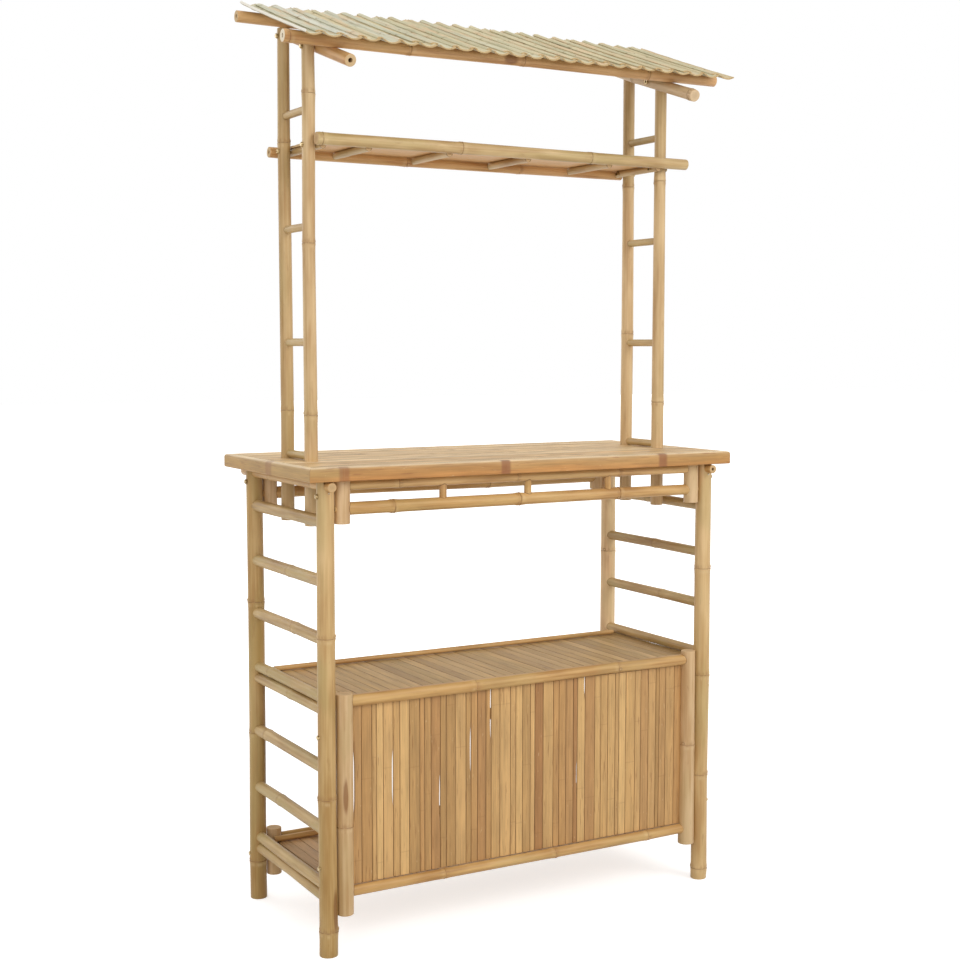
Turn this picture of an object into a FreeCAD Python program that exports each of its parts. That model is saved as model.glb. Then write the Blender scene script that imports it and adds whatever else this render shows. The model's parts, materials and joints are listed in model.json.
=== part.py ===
import FreeCAD, Part
import math
import os

os.makedirs("parts", exist_ok=True)

V = FreeCAD.Vector

# Tiki bar hut of bamboo: a counter on four legs, a cabinet under it and a tiled roof above.
# Millimetres. X runs along the front, Y towards the back and Z up. The origin is on the
# floor under the middle of the counter.

# Clearances
seat = 0.2             # air between a pole and what it lies on or butts against
board_joint = 0.3      # air between neighbouring boards, slats and trims
bore_fit = 0.25        # a hole's radius over that of the bolt, pin or tenon in it

# Bamboo nodes, the low rings along a culm
ring_rise = 1.4
ring_below = 7.0
ring_above = 3.5
ring_margin = 6.0      # no ring lies nearer than this to a cut end
ring_clearance = ring_rise + seat    # room for the rings between poles side by side

# Counter
counter_top_z = 1050.0
counter_thickness = 30.0
counter_length = 1090.0
board_pitch = 33.55
outer_board_count = 5  # boards in front of the uprights, and as many behind them
inner_board_count = 4  # boards between the front and rear uprights
board_bevel = 1.2
trim_depth = 15.0
trim_top_round = 6.5       # the trims' outer edges, well rounded at the top
trim_low_round = 3.0

# Legs and the ladder-like ends they form
leg_radius = 19.5
leg_end_inset = 50.5       # leg axis from the counter's end
leg_front_inset = 36.85    # leg axis from the counter's front edge
leg_rear_inset = 58.85
ladder_rail_radius = 10.0
ladder_rail_inset = 1.0    # rail end behind the counter's edge
ladder_rail_bore = 3.6
ladder_rail_bore_depth = 35.0
rung_radius_left = 13.2
rung_radius_right = 11.6
bottom_pair_radius = 12.0
bottom_pair_pitch = 26.5
bottom_pair_rise = 3.0     # middle of the bottom pair over the shelf's top
top_pair_radius_left = 11.75
top_pair_radius_right = 11.2
top_pair_pitch_left = 25.5
top_pair_pitch_right = 22.8
top_pair_drop_left = 6.75  # middle of the left pair under the cabinet's top
# Single rungs, as shares of the height between the pair below and the rail or pair above
upper_bay = {"left": (0.279, 0.553, 0.833), "right": (0.267, 0.545, 0.798)}
lower_bay = {"left": (0.317, 0.671), "right": (0.309, 0.674)}
# Each rung's ring, from the front leg's axis, in the order of make_ladder_rungs. 0 is none.
rung_rings = {"left": (0, 0, 186, 305, 160, 191, 0, 253, 327),
              "right": (0, 0, 0, 0, 160, 191, 222, 253, 160)}

# Cabinet, which fills the lower half of the stand
cabinet_top_z = 550.0
bottom_shelf_z = 134.0
slat_thickness = 5.0
slat_front_gap = 22.0      # shelf slats' front ends behind the front leg axes
top_slats_depth = 330.0
shelf_slat_count = 36
bearer_radius = 9.0
bearer_setback = 13.0      # first bearer behind the slats' front ends
cabinet_post_radius = 18.5
cabinet_post_above = {"left": 15.0, "right": 19.0}
cabinet_post_below = {"left": 50.0, "right": 40.0}
panel_top_pole_radius = 12.75
panel_bottom_pole_radius = 11.25
panel_pole_drop = 2.0      # panel poles' axes under the shelves' top faces
panel_slat_count = 45
panel_slat_setback = 6.0   # slats' middle behind the poles' axes
panel_slat_crown = 1.1
panel_batten_width = 26.0
panel_batten_inset = 72.0
panel_slit = 1.8           # light shows through every few slats
panel_slit_every = 11
strip_width = 18.0
strip_thickness = 4.5
top_rear_pole_radius = 6.0
top_rear_pole_inset = 5.0
stub_post_radius = 18.0
stub_post_above = 29.0
stub_post_below = 82.0
near_rail_radius = 7.0
near_rail_overhang = 9.6
far_rail_radius = 4.75
far_rail_above = 10.0

# Apron, the rails and short posts that stiffen the stand under the counter
apron_post_radius = 17.0
apron_post_length = 92.0
apron_top_rail_radius = 10.0
apron_lower_rail_radius = 13.25
apron_lower_rail_drop = 60.5
apron_tenon_radius = 7.5
spacer_radius = 8.2
spacer_pitch = 216.0
rail_ring_inset = 14.0     # a rail's last ring from the face of the post
counter_bearer_radius = 8.5

# Uprights and their rungs
upright_radius = 14.5
upright_inset = 31.9       # upright axis inside the leg axis
upright_drop = 111.0       # stub under the counter's underside
upright_head = 17.0        # upright top over the rafter's axis
upper_rung_radius = 8.5
upper_rung_first = 10.0    # lowest rung over the counter's top
upper_rung_pitch = 248.0
upper_rung_count = 4

# Upper shelf
shelf_drop = 76.0          # battens' axis under the top rung
shelf_front_pole_radius = 13.0
shelf_rear_pole_radius = 11.75
shelf_front_pole_rise = 11.5
# The shelf poles' ends past the uprights' axes, left and right
shelf_front_pole_past = (-5.6, 56.0)
shelf_rear_pole_past = (26.4, -5.6)
shelf_batten_radius = 8.0
shelf_batten_stations = (-332.0, -133.0, 72.0, 297.0)
shelf_slat_count_across = 5

# Roof
roof_pitch_degrees = 18.0
rafter_rise = 129.8        # rafter's axis over the top rung, where it crosses the front upright
rafter_radius = 13.35
rafter_front_left = 163.0
rafter_front_right = 180.0
rafter_rear = 219.0
purlin_radius = 13.0
purlin_past = 120.95       # purlin end past the rafter's axis
purlin_front_run = -81.7
purlin_rear_run = 193.8
purlin_bore = 4.2
purlin_bore_depth = 30.0
tile_count = 25
tile_pitch = 43.8
tile_wall = 3.5
pan_radius = 24.0
pan_half_angle = 58.0
cap_radius = 10.0
tile_front_run = -170.5
tile_rear_run = 231.0
tile_rear_bow = 50.0       # how much further back the middle tiles reach than the end ones
tile_stagger = 2.0
tile_shift = 3.0
tile_gap = 0.3         # air between a cap and the pans that it bears on

# Fixings
bolt_radius = 3.0
bolt_head_flats = 9.0
bolt_head_height = 3.4
bolt_grip = 24.0           # screwed into a post
nut_flats = 10.0
nut_height = 4.5
pin_radius = 2.0
pin_drop = 4.0             # pin's mouth under the rail
pin_length = 27.0
pin_tilt_degrees = 32.0
bolt_height_apron_drop = 32.0
bolt_height_panel_top = 73.0
bolt_height_panel_bottom = 59.0
bolt_height_stub = 25.0

# Places that follow from the sizes above
underside_z = counter_top_z - counter_thickness
counter_half_length = counter_length / 2
upright_y = board_pitch * inner_board_count / 2
counter_half_depth = board_pitch * (inner_board_count / 2 + outer_board_count) + trim_depth
leg_x = counter_half_length - leg_end_inset
leg_front_y = leg_front_inset - counter_half_depth
leg_rear_y = counter_half_depth - leg_rear_inset
upright_x = leg_x - upright_inset
apron_post_x = leg_x - leg_radius - ring_clearance - apron_post_radius
cabinet_post_x = leg_x - leg_radius - ring_clearance - cabinet_post_radius
stub_post_x = leg_x - leg_radius - ring_clearance - stub_post_radius
shelf_half_length = leg_x - bottom_pair_radius - seat
slat_front_y = leg_front_y + slat_front_gap
top_rung_z = counter_top_z + upper_rung_first + upper_rung_pitch * (upper_rung_count - 1)
rafter_z = top_rung_z + rafter_rise
roof_pitch = math.radians(roof_pitch_degrees)
rafter_x = upright_x - upright_radius - seat - rafter_radius

SIDES = (("left", -1), ("right", 1))
ENDS = (("front", leg_front_y), ("rear", leg_rear_y))
UPRIGHTS = (("front", -upright_y), ("rear", upright_y))


def save(node, solids):
    """Write one node, a single solid or a group of separate ones."""
    shape = solids[0] if len(solids) == 1 else Part.makeCompound(solids)
    shape.exportStep("parts/" + node + ".step")


def placed(shape, start, direction):
    """Turn a shape built along Z to run from start in the given direction."""
    shape.Placement = FreeCAD.Placement(start, FreeCAD.Rotation(V(0, 0, 1), direction))
    return shape


def rod(start, direction, radius, length):
    """A plain round rod, also the cutter for bolt holes and bores."""
    return placed(Part.makeCylinder(radius, length), start, direction)


class Culm:
    """A bamboo pole from start to end, with node rings at distances from its start."""

    def __init__(self, start, end, radius, rings=()):
        self.start = start
        self.end = end
        self.radius = radius
        self.length = (end - start).Length
        self.direction = (end - start).normalize()
        fits = (ring_below + ring_margin, self.length - ring_above - ring_margin)
        self.rings = [ring for ring in sorted(rings) if fits[0] < ring < fits[1]]

    def solid(self, grow=0.0):
        """The pole turned from its half outline. grow widens it, to cut what butts on it."""
        radius = self.radius + grow
        outline = [V(0, 0, 0), V(radius, 0, 0)]
        for ring in self.rings:
            outline.append(V(radius, 0, ring - ring_below))
            outline.append(V(radius + ring_rise, 0, ring))
            outline.append(V(radius, 0, ring + ring_above))
        outline += [V(radius, 0, self.length), V(0, 0, self.length), V(0, 0, 0)]
        face = Part.Face(Part.makePolygon(outline))
        return placed(face.revolve(V(0, 0, 0), V(0, 0, 1), 360), self.start, self.direction)

    def cutter(self):
        """The room that this pole takes from one that is coped to it."""
        return self.solid(seat)

    def bore(self, at_start, radius, depth):
        """The blind hollow that shows where the pole is sawn between two nodes."""
        if at_start:
            return rod(self.start - self.direction, self.direction, radius, depth + 1)
        return rod(self.end + self.direction, -self.direction, radius, depth + 1)


def coped(culm, *others):
    """The culm with fish-mouth ends, scribed to the poles that it butts against."""
    shape = culm.solid()
    for other in others:
        shape = shape.cut(other.cutter())
    return largest(shape)


def largest(shape):
    """The pole itself, without the offcuts that a cope leaves beyond it."""
    return max(shape.Solids, key=lambda solid: solid.Volume)


def between(low, high, share):
    """A height at the given share of the way between two others."""
    return low + (high - low) * share


# The main poles, which others are scribed to

def make_legs():
    """Four legs, each with the rings where they lie on that one culm."""
    rings = {
        "front_left": (52, 341, 686),
        "front_right": (25, 259, 505, 765),
        "rear_left": (90, 397, 706),
        "rear_right": (140, 452, 761),
    }
    culms = {}
    for end, y in ENDS:
        for side, sign in SIDES:
            foot = V(sign * leg_x, y, 0)
            culms[end + "_" + side] = Culm(
                foot, foot + V(0, 0, underside_z), leg_radius, rings[end + "_" + side])
    return culms


def make_ladder_rails():
    """The top rail of each end, lying in the notched tops of two legs."""
    reach = counter_half_depth - ladder_rail_inset
    z = underside_z - ring_clearance - ladder_rail_radius
    return {side: Culm(V(sign * leg_x, -reach, z), V(sign * leg_x, reach, z),
                       ladder_rail_radius, (95, 330))
            for side, sign in SIDES}


def make_apron_posts():
    """Short posts bolted beside the leg tops."""
    culms = {}
    for end, y in ENDS:
        for side, sign in SIDES:
            top = V(sign * apron_post_x, y, underside_z)
            culms[end + "_" + side] = Culm(top - V(0, 0, apron_post_length), top, apron_post_radius)
    return culms


def make_uprights():
    """Four poles that rise through the counter and carry the shelf and the roof."""
    rings = {
        "front_left": (240, 609, 925),
        "front_right": (256, 792),
        "rear_left": (246, 836),
        "rear_right": (420, 786),
    }
    culms = {}
    for end, y in UPRIGHTS:
        run = (y + upright_y) / math.cos(roof_pitch)
        for side, sign in SIDES:
            low = V(sign * upright_x, y, underside_z - upright_drop)
            high = V(sign * upright_x, y, roof_point(0, run, 0).z + upright_head)
            culms[end + "_" + side] = Culm(low, high, upright_radius, rings[end + "_" + side])
    return culms


def roof_point(x, run, rise):
    """A point of the roof: run up the slope from the front uprights, rise square to it."""
    y = -upright_y + run * math.cos(roof_pitch) - rise * math.sin(roof_pitch)
    z = rafter_z + run * math.sin(roof_pitch) + rise * math.cos(roof_pitch)
    return V(x, y, z)


legs = make_legs()
ladder_rails = make_ladder_rails()
apron_posts = make_apron_posts()
uprights = make_uprights()


# Bolts. Every place is listed once, and drills its pieces and sets its bolt.

def hexagon(flats, height):
    """A hexagon prism across its flats, for a bolt's head or a nut."""
    corner = flats / math.sqrt(3)
    points = []
    for k in range(7):
        angle = math.radians(60 * k)
        points.append(V(corner * math.cos(angle), corner * math.sin(angle), 0))
    return Part.Face(Part.makePolygon(points)).extrude(V(0, 0, height))


class Bolt:
    """A bolt along X, with its head against a round pole's outer side."""

    def __init__(self, sign, face_x, y, z, length):
        self.head = V(sign * face_x, y, z)
        self.inwards = V(-sign, 0, 0)
        self.length = length

    def hole(self):
        return rod(self.head - self.inwards * bolt_head_height, self.inwards,
                   bolt_radius + bore_fit, self.length + bolt_head_height + seat)

    def solid(self):
        """Shank and hexagon head in one."""
        head = hexagon(bolt_head_flats, bolt_head_height)
        head.translate(V(0, 0, -bolt_head_height))
        return placed(head.fuse(Part.makeCylinder(bolt_radius, self.length)), self.head, self.inwards)

    def nut(self, grip):
        """A hexagon nut on the shank, past the poles that the bolt draws together."""
        hole = Part.makeCylinder(bolt_radius + bore_fit, nut_height)
        body = hexagon(nut_flats, nut_height).cut(hole)
        return placed(body, self.head + self.inwards * grip, self.inwards)


leg_face_x = leg_x + leg_radius + seat
upright_face_x = upright_x + upright_radius + seat
leg_bolt_length = 2 * leg_radius + ring_clearance + seat + bolt_grip


def leg_bolt(sign, y, z):
    return Bolt(sign, leg_face_x, y, z, leg_bolt_length)


def make_leg_bolts():
    """The bolts that hold posts beside the legs, by leg."""
    bolts = {}
    for end, y in ENDS:
        for side, sign in SIDES:
            heights = {"apron": [underside_z - bolt_height_apron_drop]}
            if end == "front":
                heights["post"] = [cabinet_top_z - bolt_height_panel_top,
                                   bottom_shelf_z + bolt_height_panel_bottom]
            else:
                heights["post"] = [bottom_shelf_z - bolt_height_stub]
            bolts[end + "_" + side] = {use: [leg_bolt(sign, y, z) for z in zs]
                                       for use, zs in heights.items()}
    return bolts


def make_upright_bolts():
    """The bolts through each upright: bearer, shelf batten and rafter, with their grips."""
    bolts = {}
    for end, y in UPRIGHTS:
        run = (y + upright_y) / math.cos(roof_pitch)
        places = {
            "bearer": (counter_bearer_z, counter_bearer_radius),
            "batten": (shelf_z, shelf_batten_radius),
            "rafter": (roof_point(0, run, 0).z, rafter_radius),
        }
        for side, sign in SIDES:
            bolts[end + "_" + side] = {}
            for use, (z, radius) in places.items():
                grip = 2 * upright_radius + 2 * radius + 3 * seat
                length = grip + nut_height + bolt_radius
                bolts[end + "_" + side][use] = (Bolt(sign, upright_face_x, y, z, length), grip)
    return bolts


counter_bearer_z = underside_z - ring_clearance - counter_bearer_radius
shelf_z = top_rung_z - shelf_drop
leg_bolts = make_leg_bolts()
upright_bolts = make_upright_bolts()


def drilled(shape, bolts):
    """The shape with a clear hole for each bolt."""
    for bolt in bolts:
        shape = shape.cut(bolt.hole())
    return shape


def rail_pin(side, end, y):
    """A thin pin driven up through a leg's front or rear face into the ladder's top rail."""
    outwards = -1 if end == "front" else 1
    rail = ladder_rails[side]
    start = V(rail.start.x, y + outwards * leg_radius, rail.start.z - rail.radius - pin_drop)
    tilt = math.radians(pin_tilt_degrees)
    return start, V(0, -outwards * math.cos(tilt), math.sin(tilt))


def build_legs():
    """Legs with a saddle notch for the top rail, bolt holes and the pin's hole."""
    for end, y in ENDS:
        for side, sign in SIDES:
            name = end + "_" + side
            rail = ladder_rails[side]
            shape = legs[name].solid().cut(rail.cutter())
            width = 2 * (rail.radius + seat)
            above = Part.makeBox(width, 4 * leg_radius, 2 * rail.radius,
                                 V(sign * leg_x - width / 2, y - 2 * leg_radius, rail.start.z))
            shape = shape.cut(above)
            shape = drilled(shape, leg_bolts[name]["apron"] + leg_bolts[name]["post"])
            start, direction = rail_pin(side, end, y)
            mouth = start - direction * 2 * pin_radius
            hole = rod(mouth, direction, pin_radius + bore_fit, pin_length + 2 * pin_radius + seat)
            save("leg_" + name, [largest(shape.cut(hole))])


def build_ladder_rails():
    for side, sign in SIDES:
        rail = ladder_rails[side]
        shape = rail.solid()
        for at_start in (True, False):
            shape = shape.cut(rail.bore(at_start, ladder_rail_bore, ladder_rail_bore_depth))
        for end, y in ENDS:
            start, direction = rail_pin(side, end, y)
            shape = shape.cut(rod(start, direction, pin_radius + bore_fit, pin_length + seat))
        save("ladder_top_rail_" + side, [shape])


def build_pins():
    pins = []
    for side, sign in SIDES:
        for end, y in ENDS:
            start, direction = rail_pin(side, end, y)
            pins.append(rod(start, direction, pin_radius, pin_length))
    save("rail_pins", pins)


# Ladder rungs. A close pair stands at each shelf, and single ones share the bays between.

def pair(middle, pitch):
    """The heights of two rungs, one over the other."""
    return middle - pitch / 2, middle + pitch / 2


bottom_pair = pair(bottom_shelf_z + bottom_pair_rise, bottom_pair_pitch)
top_pairs = {"left": pair(cabinet_top_z - top_pair_drop_left, top_pair_pitch_left),
             "right": pair(cabinet_top_z, top_pair_pitch_right)}
top_pair_radii = {"left": top_pair_radius_left, "right": top_pair_radius_right}
rung_radii = {"left": rung_radius_left, "right": rung_radius_right}


def make_ladder_rungs(side, sign):
    """Rungs from leg axis to leg axis: the two pairs, and then the single ones."""
    low, high = top_pairs[side]
    rail_z = ladder_rails[side].start.z
    single = [between(high, rail_z, share) for share in upper_bay[side]]
    single += [between(bottom_pair[1], low, share) for share in lower_bay[side]]
    places = [(z, bottom_pair_radius) for z in bottom_pair]
    places += [(z, top_pair_radii[side]) for z in (low, high)]
    places += [(z, rung_radii[side]) for z in single]
    rungs = []
    for (z, radius), ring in zip(places, rung_rings[side]):
        rungs.append(Culm(V(sign * leg_x, leg_front_y, z), V(sign * leg_x, leg_rear_y, z),
                          radius, (ring,)))
    return rungs


ladder_rungs = {side: make_ladder_rungs(side, sign) for side, sign in SIDES}


def build_ladder_rungs():
    for side, sign in SIDES:
        ends = (legs["front_" + side], legs["rear_" + side])
        save("ladder_rungs_" + side, [coped(rung, *ends) for rung in ladder_rungs[side]])


# Counter

def counter_board(y):
    """One board, bevelled along its top edges. y is its middle."""
    half = (board_pitch - board_joint) / 2
    low = underside_z
    high = counter_top_z
    reach = counter_half_length - trim_depth - board_joint
    points = [
        V(-reach, y - half, low),
        V(-reach, y + half, low),
        V(-reach, y + half, high - board_bevel),
        V(-reach, y + half - board_bevel, high),
        V(-reach, y - half + board_bevel, high),
        V(-reach, y - half, high - board_bevel),
    ]
    face = Part.Face(Part.makePolygon(points + points[:1]))
    return face.extrude(V(2 * reach, 0, 0))


def build_counter_boards():
    """Lengthwise boards. A seam meets each upright, so its two boards are notched round it."""
    count = 2 * outer_board_count + inner_board_count
    boards = []
    for k in range(count):
        y = board_pitch * (k - (count - 1) / 2)
        board = counter_board(y)
        for upright in uprights.values():
            if abs(upright.start.y - y) < board_pitch / 2 + upright.radius:
                board = board.cut(upright.cutter())
        boards.append(largest(board))
    save("counter_boards", boards)


def trim(length, reach, turn):
    """An edge trim with rounded outer edges and mitred ends. reach is its outer face."""
    half = length / 2 - board_joint / 2
    outer = -reach
    inner = trim_depth - reach
    low = underside_z
    high = counter_top_z

    def rounding(edge_z, radius, up):
        """From the outer face round to the trim's top or underside."""
        cut = radius * (1 - math.cos(math.pi / 4))
        return Part.Arc(V(-half, outer, edge_z - up * radius),
                        V(-half, outer + cut, edge_z - up * cut),
                        V(-half, outer + radius, edge_z))

    edges = [
        Part.LineSegment(V(-half, inner, high), V(-half, inner, low)),
        Part.LineSegment(V(-half, inner, low), V(-half, outer + trim_low_round, low)),
        rounding(low, trim_low_round, -1),
        Part.LineSegment(V(-half, outer, low + trim_low_round), V(-half, outer, high - trim_top_round)),
        rounding(high, trim_top_round, 1),
        Part.LineSegment(V(-half, outer + trim_top_round, high), V(-half, inner, high)),
    ]
    bar = Part.Face(Part.Wire([edge.toShape() for edge in edges])).extrude(V(2 * half, 0, 0))
    plan = [V(-half, outer, low), V(half, outer, low),
            V(half - trim_depth, inner, low), V(trim_depth - half, inner, low)]
    mitre = Part.Face(Part.makePolygon(plan + plan[:1])).extrude(V(0, 0, counter_thickness))
    shape = bar.common(mitre).Solids[0]
    shape.rotate(V(0, 0, 0), V(0, 0, 1), turn)
    return shape


def build_counter_trims():
    depth = 2 * counter_half_depth
    save("counter_trim_front", [trim(counter_length, counter_half_depth, 0)])
    save("counter_trim_right", [trim(depth, counter_half_length, 90)])
    save("counter_trim_rear", [trim(counter_length, counter_half_depth, 180)])
    save("counter_trim_left", [trim(depth, counter_half_length, 270)])


# Apron

apron_top_rail_z = underside_z - ring_clearance - apron_top_rail_radius
apron_lower_rail_z = underside_z - apron_lower_rail_drop
apron_ring = apron_post_x - apron_post_radius - rail_ring_inset
spacer_stations = (-spacer_pitch, 0, spacer_pitch)


def apron_rail(y, z, radius, rings):
    """A rail between the axes of two posts. Rings are places along X."""
    return Culm(V(-apron_post_x, y, z), V(apron_post_x, y, z), radius,
                [ring + apron_post_x for ring in rings])


apron_top_rails = {
    "front": apron_rail(leg_front_y, apron_top_rail_z, apron_top_rail_radius,
                        (-apron_ring, 85, apron_ring)),
    "rear": apron_rail(leg_rear_y, apron_top_rail_z, apron_top_rail_radius, (-140, 150)),
}
apron_lower_rails = {
    "front": apron_rail(leg_front_y, apron_lower_rail_z, apron_lower_rail_radius,
                        (-apron_ring, -300, 60, apron_ring)),
    "rear": apron_rail(leg_rear_y, apron_lower_rail_z, apron_lower_rail_radius,
                       (-apron_ring, -330, 130)),
}


def apron_tenon(y, radius):
    """The stretch that runs through both posts to the legs, where its ends show."""
    reach = leg_x - leg_radius
    return rod(V(-reach, y, apron_lower_rail_z), V(1, 0, 0), radius, 2 * reach)


def build_apron_posts():
    for end, y in ENDS:
        for side, sign in SIDES:
            name = end + "_" + side
            shape = apron_posts[name].solid().cut(legs[name].cutter())
            shape = drilled(shape, leg_bolts[name]["apron"])
            shape = shape.cut(apron_tenon(y, apron_tenon_radius + bore_fit))
            save("apron_post_" + name, [largest(shape)])


def build_apron_rails():
    for end, y in ENDS:
        posts = [apron_posts[end + "_" + side] for side, sign in SIDES]
        save("apron_top_rail_" + end, [coped(apron_top_rails[end], *posts)])
        body = coped(apron_lower_rails[end], *posts)
        body = body.fuse(apron_tenon(y, apron_tenon_radius))
        for side, sign in SIDES:
            body = body.cut(legs[end + "_" + side].cutter())
        save("apron_lower_rail_" + end, [largest(body.removeSplitter())])


def build_apron_spacers():
    for end, y in ENDS:
        spacers = []
        for x in spacer_stations:
            spacer = Culm(V(x, y, apron_lower_rail_z), V(x, y, apron_top_rail_z), spacer_radius)
            spacers.append(coped(spacer, apron_lower_rails[end], apron_top_rails[end]))
        save("apron_spacers_" + end, spacers)


def counter_bearer(x, rings):
    """A pole from front to back under the boards."""
    return Culm(V(x, leg_front_y, counter_bearer_z), V(x, leg_rear_y, counter_bearer_z),
                counter_bearer_radius, rings)


def build_counter_bearers():
    """Poles under the boards. The outer two also carry the uprights."""
    rails = (apron_top_rails["front"], apron_top_rails["rear"])
    reach = upright_x - upright_radius - seat - counter_bearer_radius
    for side, sign in SIDES:
        posts = (apron_posts["front_" + side], apron_posts["rear_" + side])
        shape = coped(counter_bearer(sign * reach, (200,)), *rails, *posts)
        for end, y in UPRIGHTS:
            shape = shape.cut(upright_bolts[end + "_" + side]["bearer"][0].hole())
        save("counter_bearer_" + side, [shape])
    stations = [spacer_pitch * (k - 1.5) for k in range(4)]
    cross = [coped(counter_bearer(x, ()), *rails) for x in stations]
    save("counter_cross_bearers", cross)


# Uprights, their rungs and the upper shelf

def build_uprights():
    for end, y in UPRIGHTS:
        for side, sign in SIDES:
            name = end + "_" + side
            shape = drilled(uprights[name].solid(), [bolt for bolt, grip in upright_bolts[name].values()])
            save("upright_" + name, [shape])


def build_upper_rungs():
    for side, sign in SIDES:
        ends = (uprights["front_" + side], uprights["rear_" + side])
        rungs = []
        for k in range(upper_rung_count):
            z = counter_top_z + upper_rung_first + upper_rung_pitch * k
            rung = Culm(V(sign * upright_x, -upright_y, z), V(sign * upright_x, upright_y, z),
                        upper_rung_radius)
            rungs.append(coped(rung, *ends))
        save("upper_rungs_" + side, rungs)


def shelf_pole(y, z, radius, past, rings):
    """A pole outside the uprights. Rings are places along X."""
    left = -upright_x - past[0]
    right = upright_x + past[1]
    return Culm(V(left, y, z), V(right, y, z), radius, [ring - left for ring in rings])


shelf_front_pole = shelf_pole(
    -(upright_y + upright_radius + seat + shelf_front_pole_radius), shelf_z + shelf_front_pole_rise,
    shelf_front_pole_radius, shelf_front_pole_past, (-443, -105, 241))
shelf_rear_pole = shelf_pole(
    upright_y + upright_radius + seat + shelf_rear_pole_radius, shelf_z,
    shelf_rear_pole_radius, shelf_rear_pole_past, (-230, 60, 330))
shelf_end_batten_x = upright_x - upright_radius - seat - shelf_batten_radius


def build_shelf_poles():
    front = shelf_front_pole.solid()
    front = front.cut(shelf_front_pole.bore(False, purlin_bore, purlin_bore_depth))
    rear = shelf_rear_pole.solid()
    rear = rear.cut(shelf_rear_pole.bore(True, purlin_bore, purlin_bore_depth))
    for upright in uprights.values():
        front = front.cut(upright.cutter())
        rear = rear.cut(upright.cutter())
    save("shelf_front_pole", [largest(front)])
    save("shelf_rear_pole", [largest(rear)])


def build_shelf_battens():
    """Cross poles scribed between the two shelf poles. The end ones are bolted on."""
    battens = []
    for x in (-shelf_end_batten_x,) + shelf_batten_stations + (shelf_end_batten_x,):
        lap = shelf_batten_radius / 2
        start = V(x, shelf_front_pole.start.y + lap, shelf_z)
        batten = Culm(start, V(x, shelf_rear_pole.start.y, shelf_z), shelf_batten_radius)
        shape = coped(batten, shelf_front_pole, shelf_rear_pole)
        for side, sign in SIDES:
            for end, y in UPRIGHTS:
                if sign * x > max(shelf_batten_stations):
                    shape = shape.cut(upright_bolts[end + "_" + side]["batten"][0].hole())
        battens.append(shape)
    save("shelf_battens", battens)


def slat_section(half_width, thickness, crown):
    """A split culm's section on XY, flat at y = 0 and crowned towards +Y."""
    edges = [
        Part.LineSegment(V(-half_width, 0, 0), V(half_width, 0, 0)),
        Part.LineSegment(V(half_width, 0, 0), V(half_width, thickness - crown, 0)),
        Part.Arc(V(half_width, thickness - crown, 0), V(0, thickness, 0),
                 V(-half_width, thickness - crown, 0)),
        Part.LineSegment(V(-half_width, thickness - crown, 0), V(-half_width, 0, 0)),
    ]
    return Part.Face(Part.Wire([edge.toShape() for edge in edges]))


def build_shelf_slats():
    """Lengthwise slats on the battens, between the two shelf poles and the end uprights."""
    low_z = shelf_z + shelf_batten_radius + seat
    edge = upright_y + upright_radius + seat
    reach = upright_x - upright_radius - ring_rise - seat
    pitch = 2 * edge / shelf_slat_count_across
    slats = []
    for k in range(shelf_slat_count_across):
        y = pitch * (k - (shelf_slat_count_across - 1) / 2)
        half = (pitch - board_joint) / 2
        slats.append(Part.makeBox(2 * reach, 2 * half, slat_thickness, V(-reach, y - half, low_z)))
    slats[0] = slats[0].cut(shelf_front_pole.cutter())
    slats[-1] = slats[-1].cut(shelf_rear_pole.cutter())
    save("shelf_slats", [largest(slat) for slat in slats])


# Roof

rafter_fronts = {"left": rafter_front_left, "right": rafter_front_right}
purlin_rise = rafter_radius + seat + purlin_radius
rafter_rings = {"left": (235,), "right": (16, 252)}
purlin_reach = rafter_x + purlin_past
rafters = {side: Culm(roof_point(sign * rafter_x, -rafter_fronts[side], 0),
                      roof_point(sign * rafter_x, rafter_rear, 0),
                      rafter_radius, rafter_rings[side])
           for side, sign in SIDES}
purlins = {end: Culm(roof_point(-purlin_reach, run, purlin_rise),
                     roof_point(purlin_reach, run, purlin_rise),
                     purlin_radius, rings)
           for end, run, rings in (("front", purlin_front_run, (14, 293, 918)),
                                   ("rear", purlin_rear_run, (180, 520, 860)))}


def build_rafters():
    """Sloping poles bolted inside the uprights."""
    for side, sign in SIDES:
        rafter = rafters[side]
        shape = rafter.solid().cut(rafter.bore(side == "left", purlin_bore, purlin_bore_depth))
        for end, y in UPRIGHTS:
            shape = shape.cut(upright_bolts[end + "_" + side]["rafter"][0].hole())
            shape = shape.cut(uprights[end + "_" + side].cutter())
        save("rafter_" + side, [largest(shape)])


def build_purlins():
    """Poles across the rafters, hollow at both ends, that carry the tiles."""
    for end, purlin in purlins.items():
        shape = purlin.solid()
        for at_start in (True, False):
            shape = shape.cut(purlin.bore(at_start, purlin_bore, purlin_bore_depth))
        for rafter in rafters.values():
            shape = shape.cut(rafter.cutter())
        save("purlin_" + end, [largest(shape)])


def half_culm(x, centre_rise, radius, half_angle, up, front, rear):
    """A split culm laid up the slope. up is 1 when its back is on top, -1 when it is a pan."""
    def at(distance, angle):
        return roof_point(x + distance * math.sin(angle), front,
                          centre_rise + up * distance * math.cos(angle))
    inside = radius - tile_wall
    edges = [
        Part.Arc(at(radius, -half_angle), at(radius, 0), at(radius, half_angle)),
        Part.LineSegment(at(radius, half_angle), at(inside, half_angle)),
        Part.Arc(at(inside, half_angle), at(inside, 0), at(inside, -half_angle)),
        Part.LineSegment(at(inside, -half_angle), at(radius, -half_angle)),
    ]
    face = Part.Face(Part.Wire([edge.toShape() for edge in edges]))
    return face.extrude(roof_point(x, rear, 0) - roof_point(x, front, 0))


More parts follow.
